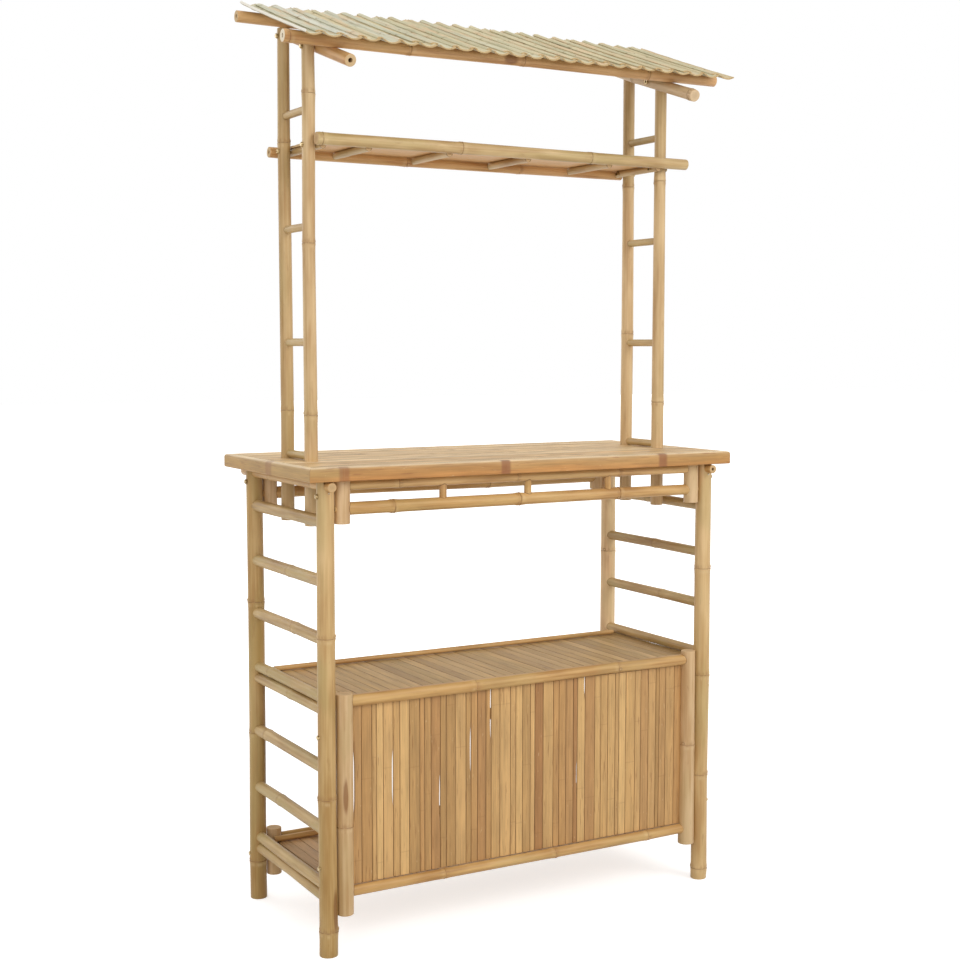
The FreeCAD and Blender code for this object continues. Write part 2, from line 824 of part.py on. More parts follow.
pan_rise = purlin_rise + purlin_radius + ring_rise + seat + pan_radius
pan_inside = pan_radius - tile_wall
cap_inside = cap_radius - tile_wall
pan_angle = math.radians(pan_half_angle)


def cap_seat():
    """Height and half-angle at which a cap rests on two pans' rims and reaches their troughs."""
    rim_x = tile_pitch / 2 - pan_inside * math.sin(pan_angle)
    rim_rise = pan_rise - pan_inside * math.cos(pan_angle)
    rise = rim_rise - math.sqrt((cap_inside - tile_gap) ** 2 - rim_x ** 2)
    apart = math.hypot(tile_pitch / 2, pan_rise - rise)
    towards_pan = math.atan2(tile_pitch / 2, pan_rise - rise)
    reach = pan_inside - tile_gap
    cosine = (cap_inside ** 2 + apart ** 2 - reach ** 2) / (2 * cap_inside * apart)
    return rise, towards_pan + math.acos(cosine)


def stagger(k, phase):
    """Uneven tile ends, a few millimetres either way."""
    return tile_stagger * math.sin(2.4 * k + phase)


def tile_rear(k, phase):
    """Where a tile ends at the back. k may be halfway between two tiles, for a cap."""
    bow = tile_rear_bow * math.sin(math.pi * k / (tile_count - 1)) ** 2
    return tile_rear_run + bow + stagger(k, phase)


def build_tiles():
    pans = []
    caps = []
    cap_rise, cap_angle = cap_seat()
    for k in range(tile_count):
        x = tile_shift + tile_pitch * (k - (tile_count - 1) / 2)
        pans.append(half_culm(x, pan_rise, pan_radius, pan_angle, -1,
                              tile_front_run + stagger(k, 0), tile_rear(k, 1)))
        if k < tile_count - 1:
            caps.append(half_culm(x + tile_pitch / 2, cap_rise, cap_radius, cap_angle, 1,
                                  tile_front_run + stagger(k, 2), tile_rear(k + 0.5, 3)))
    save("roof_pan_tiles", pans)
    save("roof_cap_tiles", caps)


# Cabinet

def make_cabinet_posts():
    rings = {"left": (192,), "right": (243,)}
    posts = {}
    for side, sign in SIDES:
        low = bottom_shelf_z - cabinet_post_below[side]
        high = cabinet_top_z + cabinet_post_above[side]
        posts[side] = Culm(V(sign * cabinet_post_x, leg_front_y, low),
                           V(sign * cabinet_post_x, leg_front_y, high),
                           cabinet_post_radius, rings[side])
    return posts


def make_stub_posts():
    low = bottom_shelf_z - stub_post_below
    high = bottom_shelf_z + stub_post_above
    return {side: Culm(V(sign * stub_post_x, leg_rear_y, low),
                       V(sign * stub_post_x, leg_rear_y, high), stub_post_radius)
            for side, sign in SIDES}


cabinet_posts = make_cabinet_posts()
stub_posts = make_stub_posts()
panel_top_z = cabinet_top_z - panel_pole_drop
panel_bottom_z = bottom_shelf_z - panel_pole_drop
panel_top_pole = Culm(V(-cabinet_post_x, leg_front_y, panel_top_z),
                      V(cabinet_post_x, leg_front_y, panel_top_z), panel_top_pole_radius,
                      (190, 726))
panel_bottom_pole = Culm(V(-cabinet_post_x, leg_front_y, panel_bottom_z),
                         V(cabinet_post_x, leg_front_y, panel_bottom_z), panel_bottom_pole_radius,
                         (330, 640))


def build_cabinet_posts():
    for side, sign in SIDES:
        shape = cabinet_posts[side].solid().cut(legs["front_" + side].cutter())
        shape = drilled(shape, leg_bolts["front_" + side]["post"])
        save("cabinet_post_" + side, [largest(shape)])
    stubs = []
    for side, sign in SIDES:
        shape = stub_posts[side].solid().cut(legs["rear_" + side].cutter())
        stubs.append(largest(drilled(shape, leg_bolts["rear_" + side]["post"])))
    save("bottom_rear_posts", stubs)


def build_panel_poles():
    posts = cabinet_posts.values()
    save("panel_top_pole", [coped(panel_top_pole, *posts)])
    save("panel_bottom_pole", [coped(panel_bottom_pole, *posts)])


def panel_slat_edges(half_length):
    """Left and right edges of the split slats, uneven in width, over the whole panel."""
    shares = [1 + 0.32 * math.sin(2.1 * k) + 0.18 * math.sin(5.3 * k + 1) for k in range(panel_slat_count)]
    scale = 2 * half_length / sum(shares)
    edges = []
    x = -half_length
    for k, share in enumerate(shares):
        gap = panel_slit if k % panel_slit_every == 0 and k > 0 else board_joint
        edges.append((x + gap / 2, x + scale * share - board_joint / 2))
        x += scale * share
    return edges


def build_panel():
    """Split slats between the two panel poles, with two battens across their backs."""
    front_y = leg_front_y + panel_slat_setback - slat_thickness / 2
    back_y = front_y + slat_thickness
    offset = front_y - leg_front_y
    top = panel_top_z - math.sqrt((panel_top_pole_radius + seat) ** 2 - offset ** 2) - ring_rise
    low = panel_bottom_z + math.sqrt((panel_bottom_pole_radius + seat) ** 2 - offset ** 2) + ring_rise
    half_length = cabinet_post_x - cabinet_post_radius - ring_rise - seat
    slats = []
    for left, right in panel_slat_edges(half_length):
        slat = slat_section((right - left) / 2, slat_thickness, panel_slat_crown)
        slat = slat.extrude(V(0, 0, top - low))
        slat.rotate(V(0, 0, 0), V(0, 0, 1), 180)
        slat.translate(V((left + right) / 2, back_y, low))
        slats.append(slat)
    save("panel_slats", slats)

    battens = []
    for z in (panel_top_z - panel_batten_inset, panel_bottom_z + panel_batten_inset):
        batten = Part.makeBox(2 * cabinet_post_x, slat_thickness, panel_batten_width,
                              V(-cabinet_post_x, back_y + seat, z - panel_batten_width / 2))
        for post in cabinet_posts.values():
            batten = batten.cut(post.cutter())
        battens.append(largest(batten))
    save("panel_battens", battens)


def shelf_slats(top_z, rear_y):
    """Slats from front to back, side by side between the ladder ends."""
    pitch = 2 * shelf_half_length / shelf_slat_count
    half = (pitch - board_joint) / 2
    slats = []
    for k in range(shelf_slat_count):
        x = pitch * (k - (shelf_slat_count - 1) / 2)
        slat = Part.makeBox(2 * half, rear_y - slat_front_y, slat_thickness,
                            V(x - half, slat_front_y, top_z - slat_thickness))
        if k in (0, shelf_slat_count - 1):
            for leg in legs.values():
                slat = slat.cut(leg.cutter())
        slats.append(largest(slat))
    return slats


def bearers(top_z, rear_y):
    """Poles under the slats, scribed to the pairs of rungs that carry them."""
    z = top_z - slat_thickness - seat - bearer_radius
    first = slat_front_y + bearer_setback
    last = rear_y - bearer_setback
    poles = []
    reach = leg_x - bottom_pair_radius / 2
    for y in (first, (first + last) / 2, last):
        pole = Culm(V(-reach, y, z), V(reach, y, z), bearer_radius)
        poles.append(coped(pole, *ladder_rungs["left"], *ladder_rungs["right"]))
    return poles


def build_cabinet_top():
    rear_y = slat_front_y + top_slats_depth
    save("cabinet_top_slats", shelf_slats(cabinet_top_z, rear_y))
    save("cabinet_top_bearers", bearers(cabinet_top_z, rear_y))

    reach = cabinet_post_x - cabinet_post_radius - ring_rise - seat
    pole_back = math.sqrt((panel_top_pole_radius + ring_rise + seat) ** 2 - panel_pole_drop ** 2)
    strip = Part.makeBox(2 * reach, strip_width, strip_thickness,
                         V(-reach, leg_front_y + pole_back, cabinet_top_z + seat))
    save("cabinet_top_strip", [strip])

    y = rear_y - top_rear_pole_inset
    z = cabinet_top_z + seat + top_rear_pole_radius
    reach = leg_x - leg_radius - ring_clearance
    save("cabinet_top_rear_pole", [Culm(V(-reach, y, z), V(reach, y, z), top_rear_pole_radius).solid()])


def build_bottom_shelf():
    near_y = leg_rear_y - stub_post_radius - seat - near_rail_radius
    rear_y = near_y + near_rail_radius
    save("bottom_shelf_slats", shelf_slats(bottom_shelf_z, rear_y))
    save("bottom_shelf_bearers", bearers(bottom_shelf_z, rear_y))
    reach = stub_post_x + near_rail_overhang
    z = bottom_shelf_z + seat + near_rail_radius
    save("bottom_near_rail", [Culm(V(-reach, near_y, z), V(reach, near_y, z), near_rail_radius).solid()])
    z = bottom_shelf_z + far_rail_above
    rail = Culm(V(-stub_post_x, leg_rear_y, z), V(stub_post_x, leg_rear_y, z), far_rail_radius)
    save("bottom_far_rail", [coped(rail, *stub_posts.values())])


def build_bolts():
    bolts = []
    nuts = []
    for name in legs:
        bolts += [bolt.solid() for use in leg_bolts[name].values() for bolt in use]
    for name in uprights:
        for bolt, grip in upright_bolts[name].values():
            bolts.append(bolt.solid())
            nuts.append(bolt.nut(grip))
    save("frame_bolts", bolts)
    save("upright_nuts", nuts)


build_legs()
build_ladder_rails()
build_pins()
build_ladder_rungs()
build_counter_boards()
build_counter_trims()
build_apron_posts()
build_apron_rails()
build_apron_spacers()
build_counter_bearers()
build_uprights()
build_upper_rungs()
build_shelf_poles()
build_shelf_battens()
build_shelf_slats()
build_rafters()
build_purlins()
build_tiles()
build_cabinet_posts()
build_panel_poles()
build_panel()
build_cabinet_top()
build_bottom_shelf()
build_bolts()
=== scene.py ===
import bpy
import bmesh
import json
import math
import random
import numpy as np
from mathutils import Matrix, Vector


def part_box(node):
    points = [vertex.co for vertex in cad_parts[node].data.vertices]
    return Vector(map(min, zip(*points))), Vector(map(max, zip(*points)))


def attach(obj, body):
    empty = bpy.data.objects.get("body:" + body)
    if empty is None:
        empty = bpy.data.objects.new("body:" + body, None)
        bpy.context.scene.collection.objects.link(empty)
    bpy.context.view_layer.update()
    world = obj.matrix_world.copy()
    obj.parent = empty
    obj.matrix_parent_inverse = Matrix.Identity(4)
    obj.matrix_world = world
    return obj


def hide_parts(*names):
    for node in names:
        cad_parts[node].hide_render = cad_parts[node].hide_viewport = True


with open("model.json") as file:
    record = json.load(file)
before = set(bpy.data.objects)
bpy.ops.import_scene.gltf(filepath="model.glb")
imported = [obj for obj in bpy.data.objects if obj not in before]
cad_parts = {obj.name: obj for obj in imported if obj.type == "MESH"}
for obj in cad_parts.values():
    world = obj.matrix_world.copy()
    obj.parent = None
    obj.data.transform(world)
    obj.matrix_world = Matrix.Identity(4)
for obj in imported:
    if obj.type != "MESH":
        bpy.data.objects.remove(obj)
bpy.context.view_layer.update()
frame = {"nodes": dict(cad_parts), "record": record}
slotOf = {part["node"]: part["material_slot"] for part in frame["record"]["subparts"]}
seeds = {node: 11 + 3 * k for k, node in enumerate(sorted(slotOf))}
print("frame loaded,", len(frame["nodes"]), "nodes")

# Lengths are metres. Colours are written as screen levels, 0 to 255.


def paint(levels):
    return (*[((level / 255 + 0.055) / 1.055) ** 2.4 for level in levels], 1)


def addObject(name, data):
    made = bpy.data.objects.new(name, data)
    bpy.context.scene.collection.objects.link(made)
    return made


# Camera, at the photograph's place and angle
cameraSettings = {
    "place": (-1.794, -3.153, 1.304),
    "lens": 57.77,
    "pitch": 84.967,   # degrees up from straight down
    "turn": -29.609,
    "roll": 0.06,
}


def makeCamera(settings):
    camera = addObject("camera", bpy.data.cameras.new("camera"))
    camera.data.lens = settings["lens"]
    turned = (Matrix.Rotation(math.radians(settings["turn"]), 4, "Z")
              @ Matrix.Rotation(math.radians(settings["pitch"]), 4, "X")
              @ Matrix.Rotation(math.radians(settings["roll"]), 4, "Z"))
    camera.matrix_world = Matrix.Translation(settings["place"]) @ turned
    bpy.context.scene.camera = camera


makeCamera(cameraSettings)
bpy.context.scene.view_settings.view_transform = "Standard"
print("camera placed")


# Node trees, in materials and in Geometry Nodes, are written as sums and products of wires

def feed(node, inputs):
    # Each input, by its label or number, gets a wire or a plain value
    for label, value in inputs.items():
        if isinstance(value, Wire):
            value.tree.links.new(value.socket, node.inputs[label])
        else:
            node.inputs[label].default_value = value


def place(tree, kind, inputs, output=0, **settings):
    # A new node, as the wire from one of its outputs
    node = tree.nodes.new(kind)
    for key, value in settings.items():
        setattr(node, key, value)
    feed(node, inputs)
    return Wire(tree, node.outputs[output])


class Wire:
    # One output socket
    def __init__(self, tree, socket):
        self.tree = tree
        self.socket = socket

    def math(self, operation, *others):
        inputs = dict(enumerate((self, *others)))
        return place(self.tree, "ShaderNodeMath", inputs, operation=operation)

    def __add__(self, other):
        return self.math("ADD", other)

    def __sub__(self, other):
        return self.math("SUBTRACT", other)

    def __mul__(self, other):
        return self.math("MULTIPLY", other)

    def __truediv__(self, other):
        return self.math("DIVIDE", other)

    def __rsub__(self, other):
        return self * -1.0 + other

    def __abs__(self):
        return self.math("ABSOLUTE")

    __radd__ = __add__
    __rmul__ = __mul__

    def atLeast(self, level):
        return self.math("MAXIMUM", level)

    def atMost(self, level):
        return self.math("MINIMUM", level)

    def root(self):
        return self.atLeast(0.0).math("SQRT")

    def over(self, level):
        return self.math("GREATER_THAN", level)

    def smooth(self, low, high):
        # 0 below low, 1 above high, or the other way about
        flip = low > high
        values = (self, min(low, high), max(low, high), float(flip), float(not flip))
        return place(self.tree, "ShaderNodeMapRange", dict(enumerate(values)),
                     interpolation_type="SMOOTHSTEP")

    def bell(self, middle, width):
        share = (self - middle) / width
        return (share * share * -1.0).math("EXPONENT")

    def vector(self, operation, other):
        inputs = {0: self, "Scale" if operation == "SCALE" else 1: other}
        return place(self.tree, "ShaderNodeVectorMath", inputs, operation=operation)

    def parts(self):
        return [place(self.tree, "ShaderNodeSeparateXYZ", {0: self}, k) for k in range(3)]

    def noise(self, stretch, detail=2.0, rough=0.5, shift=(0.0, 0.0, 0.0)):
        # Noise from 0 to 1, with this wire as its place, moved and then stretched along each axis
        spot = self.vector("ADD", shift).vector("MULTIPLY", stretch)
        return place(self.tree, "ShaderNodeTexNoise",
                     {"Vector": spot, "Scale": 1.0, "Detail": detail, "Roughness": rough})


def joined(tree, x, y, z):
    return place(tree, "ShaderNodeCombineXYZ", {0: x, 1: y, 2: z})


# Finishes

def readMark(tree, name, output="Fac"):
    return place(tree, "ShaderNodeAttribute", {}, output, attribute_name=name)


def readMarks(tree, names):
    return [readMark(tree, name) for name in names.split()]


def layered(tree, look, skin, layers):
    # Each layer is its amount and its colour, which is a wire or a name in the look
    for amount, colour in layers:
        if isinstance(colour, str):
            colour = paint(look[colour])
        skin = place(tree, "ShaderNodeMix", {0: amount, 6: skin, 7: colour}, 2, data_type="RGBA")
    return skin


def ramp(tree, amount, colours, low=0.0, high=1.0):
    # The colours at even steps of the amount
    mapped = place(tree, "ShaderNodeValToRGB", {0: amount})
    elements = mapped.socket.node.color_ramp.elements
    while len(elements) < len(colours):
        elements.new(0.5)
    for k, levels in enumerate(colours):
        elements[k].position = low + (high - low) * k / (len(colours) - 1)
        elements[k].color = paint(levels)
    return mapped


def shaded(tree, colour, value, saturation=1.0):
    return place(tree, "ShaderNodeHueSaturation", {"Color": colour, "Value": value, "Saturation": saturation})


def newFinish(name, gloss):
    material = bpy.data.materials.new(name)
    material.use_nodes = True
    shader = material.node_tree.nodes["Principled BSDF"]
    feed(shader, {"Specular IOR Level": gloss})
    return material, material.node_tree, shader


def endFinish(tree, shader, colour, roughness, height, depth):
    bump = place(tree, "ShaderNodeBump", {"Strength": 0.6, "Distance": depth, "Height": height})
    feed(shader, {"Base Color": colour, "Roughness": roughness, "Normal": bump})


def endGrain(tree, fibre, look):
    # Sawn or split bamboo: pale, with fine dark fibre ends
    dots = fibre.noise((1500, 1500, 150), 1.0).smooth(0.60, 0.70)
    return layered(tree, look, paint(look["cut"]), [(dots * 0.5, "brown")])


culmLook = {
    "light": (214, 181, 130), "mid": (201, 166, 114), "dark": (184, 146, 95), "green": (178, 156, 102),
    # line: the scar's dark line, whose colour also paints shade at the fish mouths
    "brown": (146, 102, 60), "line": (116, 80, 46), "bloom": (224, 198, 152), "cut": (208, 176, 132),
    # bore: painted shade, dark inside hollow ends and inside cuts below the skin
    "stain": (124, 74, 30), "bore": (84, 56, 32), "greenShare": 0.45, "stainShare": 0.3, "lineShare": 0.7,
}


def culmShades(light, mid, dark, **others):
    return dict(culmLook, light=light, mid=mid, dark=dark, **others)


rungLook = culmShades((200, 170, 118), (184, 152, 100), (162, 128, 78), greenShare=0.6)
railLook = culmShades((210, 170, 111), (196, 154, 96), (174, 130, 76), cut=(198, 164, 118), greenShare=0.25)
postLook = culmShades((214, 182, 140), (202, 168, 124), (184, 146, 100), greenShare=0.25)
uprightLook = culmShades((216, 186, 140), (204, 172, 126), (186, 150, 104), greenShare=0.3)
shelfPoleLook = culmShades((212, 184, 136), (196, 166, 118), (174, 138, 90), greenShare=0.5)
roofPoleLook = culmShades((222, 178, 122), (208, 162, 106), (182, 132, 80), cut=(204, 174, 130),
                          greenShare=0.1, stainShare=0.4)
# The front purlin's sawn ends: pale wood, made paler still as painted light on the end faces
purlinLook = dict(roofPoleLook, cut=(240, 226, 200))
# The right rafter's skin, paler than the roof poles': painted light, where light falls on it under the roof
paintedLightRafterLook = dict(roofPoleLook, light=(224, 196, 158), mid=(210, 180, 140), dark=(190, 156, 114),
                      cut=(216, 188, 150))


def culmFinish(name, look):
    material, tree, shader = newFinish(name, 0.35)
    fibre = readMark(tree, "fibre", "Vector")
    tone, knot, near, bare, bud, bore, stain, mouth = readMarks(
        tree, "tone knot near bare bud bore stain mouth")
    broad = fibre.noise((34, 34, 6), 2.0, 0.55)
    streak = fibre.noise((190, 190, 4), 3.0, 0.6)
    hair = fibre.noise((900, 900, 18))
    patches = fibre.noise((20, 20, 5), shift=(5.1, 2.3, 0.7))
    stains = fibre.noise((60, 60, 14), 3.0, 0.6, (1.7, 8.2, 3.9))
    flecks = fibre.noise((300, 300, 40), shift=(4.4, 0.6, 2.5))
    skin = ramp(tree, broad * 0.6 + streak * 0.4, (look["dark"], look["mid"], look["light"]), 0.39, 0.61)
    skin = layered(tree, look, skin, (
        (patches.smooth(0.46, 0.64) * look["greenShare"], "green"),
        (stains.smooth(0.62, 0.76) * look["stainShare"], "brown"),
        (flecks.smooth(0.70, 0.80) * 0.4, "brown"),
        ((stain + streak * 0.5).smooth(0.50, 0.95) * 0.7, "stain")))
    # The tone lightens or darkens the skin: each stretch's own tone times the pole's shade, which on some
    # poles is painted light and shade. Darker stretches are made richer
    skin = shaded(tree, skin, tone, 1.4 - tone * 0.4)
    # Round a node: a pale bloom, a brown shade past it and the broken dark line of the scar. Then the bud
    # scars, painted shade where a fish mouth meets another pole, the end grain, and painted shade in hollows
    uneven = fibre.noise((120, 120, 14))
    away = knot + uneven * 3.0 - 1.5
    line = (knot + uneven * 1.2 - 0.6).bell(1.8, 0.9) * near * (uneven.smooth(0.36, 0.52) * 0.7 + 0.3)
    wood = bare.smooth(0.35, 0.9)
    skin = layered(tree, look, skin, (
        (away.bell(-5.0, 4.2) * near * uneven.smooth(0.36, 0.66) * 0.3, "bloom"),
        (away.bell(6.0, 5.0) * near * uneven.smooth(0.60, 0.40) * 0.4, "brown"),
        (line * look["lineShare"], "line"),
        (bud.bell(3.4, 0.9) * 0.6, "line"),
        (bud.bell(0.0, 2.0) * 0.5, "bloom"),
        # Painted shade: a dark ring where a fish mouth meets the pole that it butts on
        (mouth.smooth(2.4, 0.5) * 0.8, "line"),
        (wood, endGrain(tree, fibre, look)),
        # Painted shade inside hollow ends and inside cuts below the skin
        (bore * 0.9, "bore")))
    endFinish(tree, shader, skin, wood * 0.3 + streak * 0.2 + 0.36, hair * 0.4 + streak, 0.0005)
    return material


slatLook = {
    "palette": ((194, 153, 98), (212, 172, 114), (160, 115, 70), (205, 164, 108), (176, 137, 86),
                (188, 143, 90)),
    # seam: painted shade along the edges of bars, boards and trims, where the gaps between them fall dark
    "brown": (126, 82, 46), "seam": (104, 68, 38), "cut": (214, 184, 140), "pale": (218, 188, 142),
    # top: painted highlight, the paler top face and rounded top edge of the counter trims
    "inner": (204, 172, 126), "foot": (196, 135, 74), "crest": (190, 156, 110), "top": (240, 218, 180),
    "footShare": 0.0, "contrast": 0.7, "dashShare": 0.5, "dashFrom": 0.62, "dashSize": (330, 330, 18),
    "nickShare": 0.4, "seamShadeShare": 0.6, "seamShadeWidth": 1.0, "knotWidth": 1.2, "knotShare": 0.16,
    "knotSoft": 0.9, "stretch": (380, 380, 6),
}
topSlatLook = dict(
    slatLook, seamShadeWidth=1.4, knotShare=0.08,
    palette=((184, 151, 101), (196, 163, 110), (168, 136, 88), (190, 156, 101),
             (176, 146, 95), (186, 149, 96)))
shelfSlatLook = dict(
    slatLook, inner=(216, 172, 116),
    palette=((188, 150, 106), (196, 158, 112), (178, 140, 96), (190, 154, 106),
             (182, 146, 100), (186, 144, 98)))
boardLook = dict(
    slatLook, brown=(120, 76, 38), contrast=1.2, dashShare=0.75, dashFrom=0.565, dashSize=(120, 120, 9),
    stretch=(80, 80, 3), seamShadeShare=0.95, seamShadeWidth=3.6, knotWidth=9.0, knotShare=0.3, knotSoft=6.0,
    palette=((230, 202, 154), (206, 171, 118), (234, 208, 164), (200, 162, 108),
             (226, 194, 142), (212, 176, 124)))
trimLook = dict(
    slatLook, brown=(136, 84, 56), dashShare=0.45, dashFrom=0.60, knotWidth=11.5, knotShare=0.75,
    knotSoft=4.0, footShare=0.55,
    palette=((180, 135, 84), (172, 125, 70), (184, 141, 88), (176, 129, 72),
             (178, 142, 90), (174, 134, 82)))
sideTrimLook = dict(
    trimLook, footShare=0.3, foot=(176, 132, 76),
    palette=((184, 146, 94), (178, 142, 88), (190, 154, 102), (182, 146, 92),
             (184, 150, 98), (180, 146, 92)))


def slatFinish(name, look):
    material, tree, shader = newFinish(name, 0.3)
    fibre = readMark(tree, "fibre", "Vector")
    tone, knot, near, bare, back, edge = readMarks(tree, "tone knot near bare back edge")
    skin = ramp(tree, tone, look["palette"])
    if look["footShare"]:
        tall = readMark(tree, "height")
        height = tall + fibre.noise((60, 60, 7)) * 0.6 - 0.3
        skin = layered(tree, look, skin, (
            (height.smooth(0.55, 0.1) * look["footShare"], "foot"),
            (height.smooth(0.6, 1.0) * look["footShare"], "crest"),
            # Painted highlight: the top face and rounded top edge made paler
            (tall.smooth(0.88, 0.995) * 0.8, "top")))
    streak = fibre.noise(look["stretch"], 4.0, 0.65)
    broad = fibre.noise((70, 70, 9), 3.0)
    skin = shaded(tree, skin, (streak * 0.5 + broad * 0.5 - 0.5) * look["contrast"] * 2.0 + 1.0)
    dashes = fibre.noise(look["dashSize"], shift=(3.1, 1.2, 6.4))
    nicks = fibre.noise((260, 260, 60), shift=(0.4, 5.6, 2.8))
    width, soft = look["knotWidth"], look["knotSoft"]
    band = abs(knot).smooth(width + soft, max(width - soft, 0.0))
    # Painted shade along each bar's edge, in the gap beside the next one, and at a trim's mitre
    seam = edge.smooth(look["seamShadeWidth"], 0.1) * (broad.smooth(0.38, 0.58) * 0.8 + 0.2)
    skin = layered(tree, look, skin, (
        (dashes.smooth(look["dashFrom"], look["dashFrom"] + 0.1) * look["dashShare"], "brown"),
        (nicks.smooth(0.68, 0.78) * look["nickShare"], "pale"),
        (band * near * look["knotShare"] * (streak * 0.9 + 0.5), "brown"),
        (seam * look["seamShadeShare"], "seam"),
        (back, shaded(tree, paint(look["inner"]), streak * 0.5 + 0.75)),
        (bare.smooth(0.2, 1.0), endGrain(tree, fibre, look))))
    endFinish(tree, shader, skin, streak * 0.25 + 0.40, streak + broad * 0.5, 0.0005)
    return material


tileLook = {
    # Greyer on the roof's left and warmer on its right
    "skin": ((210, 209, 192), (196, 193, 168), (204, 194, 160), (188, 182, 150), (200, 188, 152),
             (192, 176, 140)),
    "inside": ((214, 212, 194), (202, 198, 172), (210, 198, 162), (194, 186, 154), (206, 192, 156),
               (200, 182, 146)),
    "brown": (118, 90, 54), "cut": (198, 170, 124), "warm": (214, 184, 148), "mossy": (168, 168, 138),
    # seam: painted shade and cracks along the tiles' long edges
    "seam": (150, 134, 100), "rim": (240, 234, 220),
}


def tileFinish(name, look):
    material, tree, shader = newFinish(name, 0.2)
    fibre = readMark(tree, "fibre", "Vector")
    tone, knot, bare, back, seam, rim = readMarks(tree, "tone knot bare back seam rim")
    streak = fibre.noise((420, 420, 7), 4.0, 0.7)
    broad = fibre.noise((40, 40, 9), 3.0)
    warm = fibre.noise((46, 46, 11), 3.0, shift=(1.1, 6.3, 3.8))
    skin = layered(tree, look, ramp(tree, tone, look["skin"]), (
        (back, ramp(tree, tone, look["inside"])),
        (warm.smooth(0.50, 0.66) * 0.6, "warm"),
        (warm.smooth(0.44, 0.30) * 0.5, "mossy")))
    skin = shaded(tree, skin, (streak * 0.6 + broad * 0.4 - 0.5) * 0.9 + 1.0)
    cracks = fibre.noise((460, 460, 8), 3.0, shift=(2.2, 4.1, 0.9))
    chips = fibre.noise((130, 130, 60), 3.0, shift=(0.7, 2.9, 5.3))
    skin = layered(tree, look, skin, (
        (cracks.smooth(0.60, 0.70) * 0.5, "brown"),
        (chips.smooth(0.68, 0.78) * 0.8, "brown"),
        (knot.bell(0.0, 2.2) * fibre.noise((120, 120, 60)).smooth(0.3, 0.6) * 0.6, "brown"),
        # Painted shade and cracks along the tiles' long edges
        (seam * broad.smooth(0.40, 0.66) * 0.25, "seam"),
        (bare.smooth(0.3, 1.0), endGrain(tree, fibre, look)),
        (rim.smooth(0.1, 0.6), "rim")))
    endFinish(tree, shader, skin, streak * 0.2 + 0.6, streak + broad * 0.4, 0.0008)
    return material


def metalFinish(name, clean, worn=(128, 100, 58)):
    material, tree, shader = newFinish(name, 0.5)
    spot = place(tree, "ShaderNodeTexCoord", {}, "Object")
    wear = spot.noise((420, 420, 420), 3.0)
    fine = spot.noise((2600, 2600, 900))
    feed(shader, {"Metallic": 1.0})
    tint = layered(tree, None, paint(clean), [(wear.smooth(0.45, 0.7), paint(worn))])
    endFinish(tree, shader, tint, wear * 0.3 + 0.2, fine, 0.0001)
    return material


# Finishes of the frame's slots, and those of single nodes
finishes = {
    "leg_culm": culmFinish("legSkin", culmLook),
    "rung_culm": culmFinish("rungSkin", rungLook),
    "rail_culm": culmFinish("railSkin", railLook),
    "post_culm": culmFinish("postSkin", postLook),
    "upright_culm": culmFinish("uprightSkin", uprightLook),
    "hidden_culm": culmFinish("bearerSkin", rungLook),
    "roof_culm": culmFinish("roofPoleSkin", roofPoleLook),
    "shelf_culm": culmFinish("shelfPoleSkin", shelfPoleLook),
    "purlin_front": culmFinish("purlinSkin", purlinLook),
    "rafter_right": culmFinish("paintedLightRafterSkin", paintedLightRafterLook),
    "roof_tile": tileFinish("splitTile", tileLook),
    "counter_board": slatFinish("counterBoard", boardLook),
    "counter_trim": slatFinish("counterTrim", trimLook),
    "counter_trim_left": slatFinish("sideTrim", sideTrimLook),
    "panel_slat": slatFinish("panelSlat", slatLook),
    "shelf_slat": slatFinish("shelfSlat", shelfSlatLook),
    "cabinet_top_slats": slatFinish("cabinetTopSlat", topSlatLook),
    "bolt": metalFinish("boltBrass", (190, 170, 130)),
    "nut": metalFinish("nutBrass", (184, 162, 120)),
    "pin": metalFinish("pinSteel", (206, 196, 176)),
}
finishes["shelf_rear_pole"] = finishes["roof_culm"]
print("finishes made:", len(finishes))


def finishOf(node):
    return finishes.get(node, finishes[slotOf[node]])


# Reading the frame

ringRise = 0.0014      # height of a node ring in the frame
clearance = 0.0002     # between pieces that are cut to each other
roofPitch = math.radians(18)
slope = (0.0, math.cos(roofPitch), math.sin(roofPitch))
sides = ("left", "right")
ends = ("front", "rear")
corners = [end + "_" + side for end in ends for side in sides]


def solidsOf(node):
    # The corner points of each separate solid in a CAD node
    work = bmesh.new()
    work.from_mesh(frame["nodes"][node].data)
    bmesh.ops.remove_doubles(work, verts=work.verts, dist=1e-6)
    left = set(work.verts)
    found = []
    while left:
        reached = [left.pop()]
        solid = list(reached)
        while reached:
            vert = reached.pop()
            for edge in vert.link_edges:
                other = edge.other_vert(vert)
                if other in left:
                    left.remove(other)
                    reached.append(other)
                    solid.append(other)
        found.append(np.array([vert.co for vert in solid], float))
    work.free()
    found.sort(key=lambda points: tuple(points.min(0).round(4)))
    return found


# Bumps of a node along the pole: swelling, sheath scar, groove and upper ridge, each with its rise,
# its place and its width
nodeBumps = (
    (0.60e-3, 0.0, 0.011), (0.40e-3, 0.0, 0.0016), (-0.40e-3, 0.0028, 0.0012), (0.30e-3, 0.0064, 0.0030))


